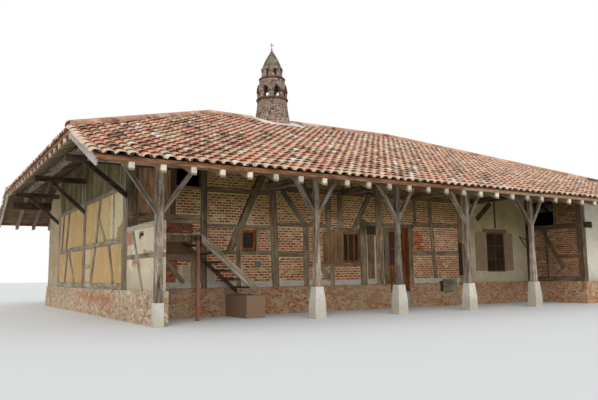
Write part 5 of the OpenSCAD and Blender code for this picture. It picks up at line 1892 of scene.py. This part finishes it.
@dataclass
class RidgeTiles:
    """Half-round tiles bedded on the ridge and the hips."""

    low_radius: float = 0.140
    high_radius: float = 0.124
    thick: float = 0.015
    sink: float = 0.02
    length: float = 0.42
    tread: float = 0.37
    lift: float = 0.05
    tower_clear: float = 0.82

    def cap(self) -> Template:
        """One capping tile along +X.

        Returns:
            The tile.
        """
        bm = bmesh.new()
        a = bm.verts.new((0, self.low_radius, -self.sink))
        b = bm.verts.new((self.length, self.high_radius, -self.sink))
        edge = bm.edges.new((a, b))
        bmesh.ops.spin(bm, geom=[a, b, edge], cent=(0, 0, -self.sink), axis=(1, 0, 0), angle=math.pi, steps=9)
        bmesh.ops.recalc_face_normals(bm, faces=bm.faces[:])
        bmesh.ops.solidify(bm, geom=bm.faces[:], thickness=self.thick)
        bmesh.ops.recalc_face_normals(bm, faces=bm.faces[:])
        return Template.of(bm)

    def build(self) -> None:
        """Lays the tiles up each hip and along the ridge."""
        top = RIDGE_Z - TILE_LAYER + self.lift
        left, right = LEFT_EAVE_Z - TILE_LAYER + self.lift, EAVE_Z - TILE_LAYER + self.lift
        ends = [((-ROOF_X, s * VERGE_Y, left), (RIDGE_LEFT, 0, top)) for s in (-1, 1)]
        ends += [((ROOF_X, s * ROOF_Y, right), (RIDGE_RIGHT, 0, top)) for s in (-1, 1)]
        ends += [((RIDGE_LEFT, 0, top), (TOWER_X - self.tower_clear, 0, top)),
                 ((RIDGE_RIGHT, 0, top), (TOWER_X + self.tower_clear, 0, top))]
        dice = random.Random(47)
        shape = self.cap()
        batch = Batch("ridge_tiles")
        for low, high in ends:
            a, b = Vector(low), Vector(high)
            along = (b - a).normalized()
            side = Vector((0, 0, 1)).cross(along).normalized()
            up = along.cross(side)
            flat = Matrix((along, side, up)).transposed().to_4x4()
            count = max(1, int((b - a).length / self.tread))
            step = (b - a).length / count
            places, tones = [], []
            for i in range(count):
                lay = (Matrix.Rotation(-0.02 + dice.gauss(0, 0.008), 4, "Y")
                       @ Matrix.Rotation(dice.gauss(0, 0.02), 4, "Z"))
                spot = a + along * (i * step) + up * dice.uniform(0, 0.006)
                places.append(Matrix.Translation(spot) @ flat @ lay)
                tones.append(random_shade(dice, 0.55, 0.25))
            batch.stamp(shape, places, tones)
        batch.build(Palette.caps)
        dress(Palette.bedding, "ridge_capping")


@dataclass
class Openings:
    """Windows, shutters and the main door."""

    def build(self) -> None:
        """Dresses the windows, the shutters and the door."""
        copy_solids("window_frames", "sashes", Palette.orange, 0.004, seed=12)
        copy_solids("shutters", "shutter_leaves", Palette.shutter_boards, 0.004, seed=13)
        dress(Palette.pane, "window_glass")
        copy_solids("main_door", "door_leaf", Palette.door_wood, 0.004, "door", 14)
        dress(Palette.door_pane, "door_glass")
        dress(Palette.iron, "door_straps", "hinge_pins")


@dataclass
class Fittings:
    """Boards, plates and irons fixed to the front walls; sizes in metres."""

    def build(self) -> None:
        """Fixes every small piece."""
        self.board("plank_by_door", Palette.brown_boards, 7.29, 0.90, 7.52, 2.20, 0.03)
        self.board("hatch_boards", Palette.hatch, 10.28, 0.42, 10.89, 0.85, 0.05, 0.045)
        self.board("dark_jamb", Palette.dark_boards, 11.07, 0.96, 11.20, 2.03, 0.04, 0.03)
        self.board("hatch_jamb", Palette.dark_boards, 10.15, 0.45, 10.27, 0.78, 0.05, 0.042)
        self.board("block_board", Palette.dark_boards, 0.10, 2.49, 0.48, 2.68, 0.05, 0.045, BLOCK_FRONT)
        self.board("door_lining", Palette.orange, 8.876, 0.49, 8.885, 2.44, 0.125)
        self.board("wall_pad", Palette.pad, 4.14, 0.80, 4.30, 0.93, 0.06)
        self.board("wall_vent", Palette.vent, 3.47, 1.26, 3.65, 1.41, 0.03)
        # Dark board: painted shade inside the vent's hole.
        self.board("vent_hole_shade", Palette.dark_boards, 3.545, 1.315, 3.585, 1.355, 0.04)
        self.bracket()

    def board(self, name: str, finish: object, u1: float, z1: float, u2: float, z2: float, thick: float,
              proud: float = 0.006, plane: WallPlane = FRONT) -> None:
        """One flat piece let into a wall.

        Args:
            name: Name of the piece.
            finish: Its finish.
            u1: Left edge, from the left wall.
            z1: Lower edge.
            u2: Right edge.
            z2: Upper edge.
            thick: Thickness into the wall.
            proud: How far its face stands out.
            plane: The wall it is fixed to.
        """
        crew = Carpenter(name, 0.001, 51)
        deep, u, z = thick / 2 - proud, (u1 + u2) / 2, (z1 + z2) / 2
        upright = z2 - z1 > u2 - u1
        start = plane.at(u, z1, deep) if upright else plane.at(u1, z, deep)
        end = plane.at(u, z2, deep) if upright else plane.at(u2, z, deep)
        crew.beam(start, end, min(u2 - u1, z2 - z1), thick, plane.inward, 0.002)
        crew.batch.build(finish)

    def bracket(self) -> None:
        """A two-strut iron bracket on the plastered wall."""
        crew = Carpenter("wall_bracket", 0.0, 53)
        foot = FRONT.at(14.10, 2.30, -0.012)
        for end in (FRONT.at(14.44, 1.92, -0.012), FRONT.at(14.44, 2.20, -0.012)):
            crew.beam(foot, end, 0.03, 0.03, FRONT.inward, 0.002)
        crew.batch.build(Palette.iron)


@dataclass
class ChimneyTower:
    """The round tower on the ridge."""

    def build(self) -> None:
        """Dresses the tower from its foot to its cross."""
        dress(Palette.tower, "chimney_base", "chimney_arcade", "chimney_lantern")
        dress(Palette.shaded_rings, "chimney_rings")
        dress(Palette.spire, "chimney_spire")
        dress(Palette.flashing, "chimney_flashing")
        dress(Palette.iron, "chimney_cross")


@dataclass
class Studio:
    """Camera, floor and light."""

    focal_px: float = 619.5
    width_px: float = 598.0
    place: tuple[float, float, float] = (-13.415, -19.461, 1.022)
    yaw: float = 0.547
    pitch: float = 0.121
    roll: float = -0.012

    def build(self) -> None:
        """Sets up the camera, the stage and the lights."""
        scene = bpy.context.scene
        scene.view_settings.view_transform = "Standard"
        lens = bpy.data.cameras.new("view")
        lens.sensor_width = 36.0
        lens.lens = self.focal_px / self.width_px * 36.0
        lens.clip_end = 500.0
        camera = bpy.data.objects.new("view", lens)
        scene.collection.objects.link(camera)
        ahead = Vector((math.sin(self.yaw) * math.cos(self.pitch), math.cos(self.yaw) * math.cos(self.pitch),
                        math.sin(self.pitch)))
        right = Vector((math.cos(self.yaw), -math.sin(self.yaw), 0))
        up = right.cross(ahead)
        turned = right * math.cos(self.roll) + up * math.sin(self.roll)
        upright = up * math.cos(self.roll) - right * math.sin(self.roll)
        turn = Matrix((turned, upright, -ahead)).transposed().to_4x4()
        camera.matrix_world = Matrix.Translation(self.place) @ turn
        scene.camera = camera
        self.floor()
        self.light()

    def floor(self) -> None:
        """A plain pale floor."""
        bm = bmesh.new()
        bmesh.ops.create_grid(bm, x_segments=1, y_segments=1, size=150.0)
        bmesh.ops.translate(bm, verts=bm.verts, vec=(0, 0, -0.002))
        mesh = bpy.data.meshes.new("floor")
        bm.to_mesh(mesh)
        bm.free()
        g = Graph("floor_paper")
        g.shader.inputs["Base Color"].default_value = (0.78, 0.78, 0.77, 1.0)
        g.shader.inputs["Roughness"].default_value = 1.0
        mesh.materials.append(g.material)
        made = bpy.data.objects.new("floor", mesh)
        bpy.context.scene.collection.objects.link(made)

    def light(self) -> None:
        """A white sky for the eye, a softer one for the light, and one broad lamp."""
        world = bpy.data.worlds.new("sky")
        bpy.context.scene.world = world
        world.use_nodes = True
        tree = world.node_tree
        tree.nodes.clear()
        path = tree.nodes.new("ShaderNodeLightPath")
        seen = tree.nodes.new("ShaderNodeMath")
        seen.operation = "MAXIMUM"
        both = tree.nodes.new("ShaderNodeMath")
        both.operation = "MAXIMUM"
        tree.links.new(path.outputs["Is Camera Ray"], seen.inputs[0])
        tree.links.new(path.outputs["Is Glossy Ray"], seen.inputs[1])
        tree.links.new(seen.outputs[0], both.inputs[0])
        tree.links.new(path.outputs["Is Transmission Ray"], both.inputs[1])
        glow = tree.nodes.new("ShaderNodeBackground")
        glow.inputs["Color"].default_value = (0.95, 0.97, 1.0, 1.0)
        glow.inputs["Strength"].default_value = 0.72
        white = tree.nodes.new("ShaderNodeBackground")
        white.inputs["Color"].default_value = (1, 1, 1, 1)
        white.inputs["Strength"].default_value = 1.0
        blend = tree.nodes.new("ShaderNodeMixShader")
        out = tree.nodes.new("ShaderNodeOutputWorld")
        tree.links.new(both.outputs[0], blend.inputs[0])
        tree.links.new(glow.outputs[0], blend.inputs[1])
        tree.links.new(white.outputs[0], blend.inputs[2])
        tree.links.new(blend.outputs[0], out.inputs[0])
        lamp = bpy.data.lights.new("key", "SUN")
        lamp.energy = 1.1
        lamp.angle = math.radians(35)
        made = bpy.data.objects.new("key", lamp)
        bpy.context.scene.collection.objects.link(made)
        made.rotation_euler = (math.radians(48), 0, math.radians(-30))


def main() -> None:
    """Builds every sub-assembly in order."""
    logging.basicConfig(level=logging.INFO, format="%(name)s: %(message)s")
    noise.seed_set(7)  # without it noise_vector gives other waves at each run
    Studio().build()
    for part in (Plinth(), FrontWall(), LeftWall(), GalleryEnd(), RightBlock(), Gallery(), RoofTimbers(),
                 *(TileField(s) for s in Slope), RidgeTiles(), Openings(), Fittings(), ChimneyTower()):
        log.info("building %s", type(part).__name__)
        part.build()


if __name__ == "__main__":
    main()
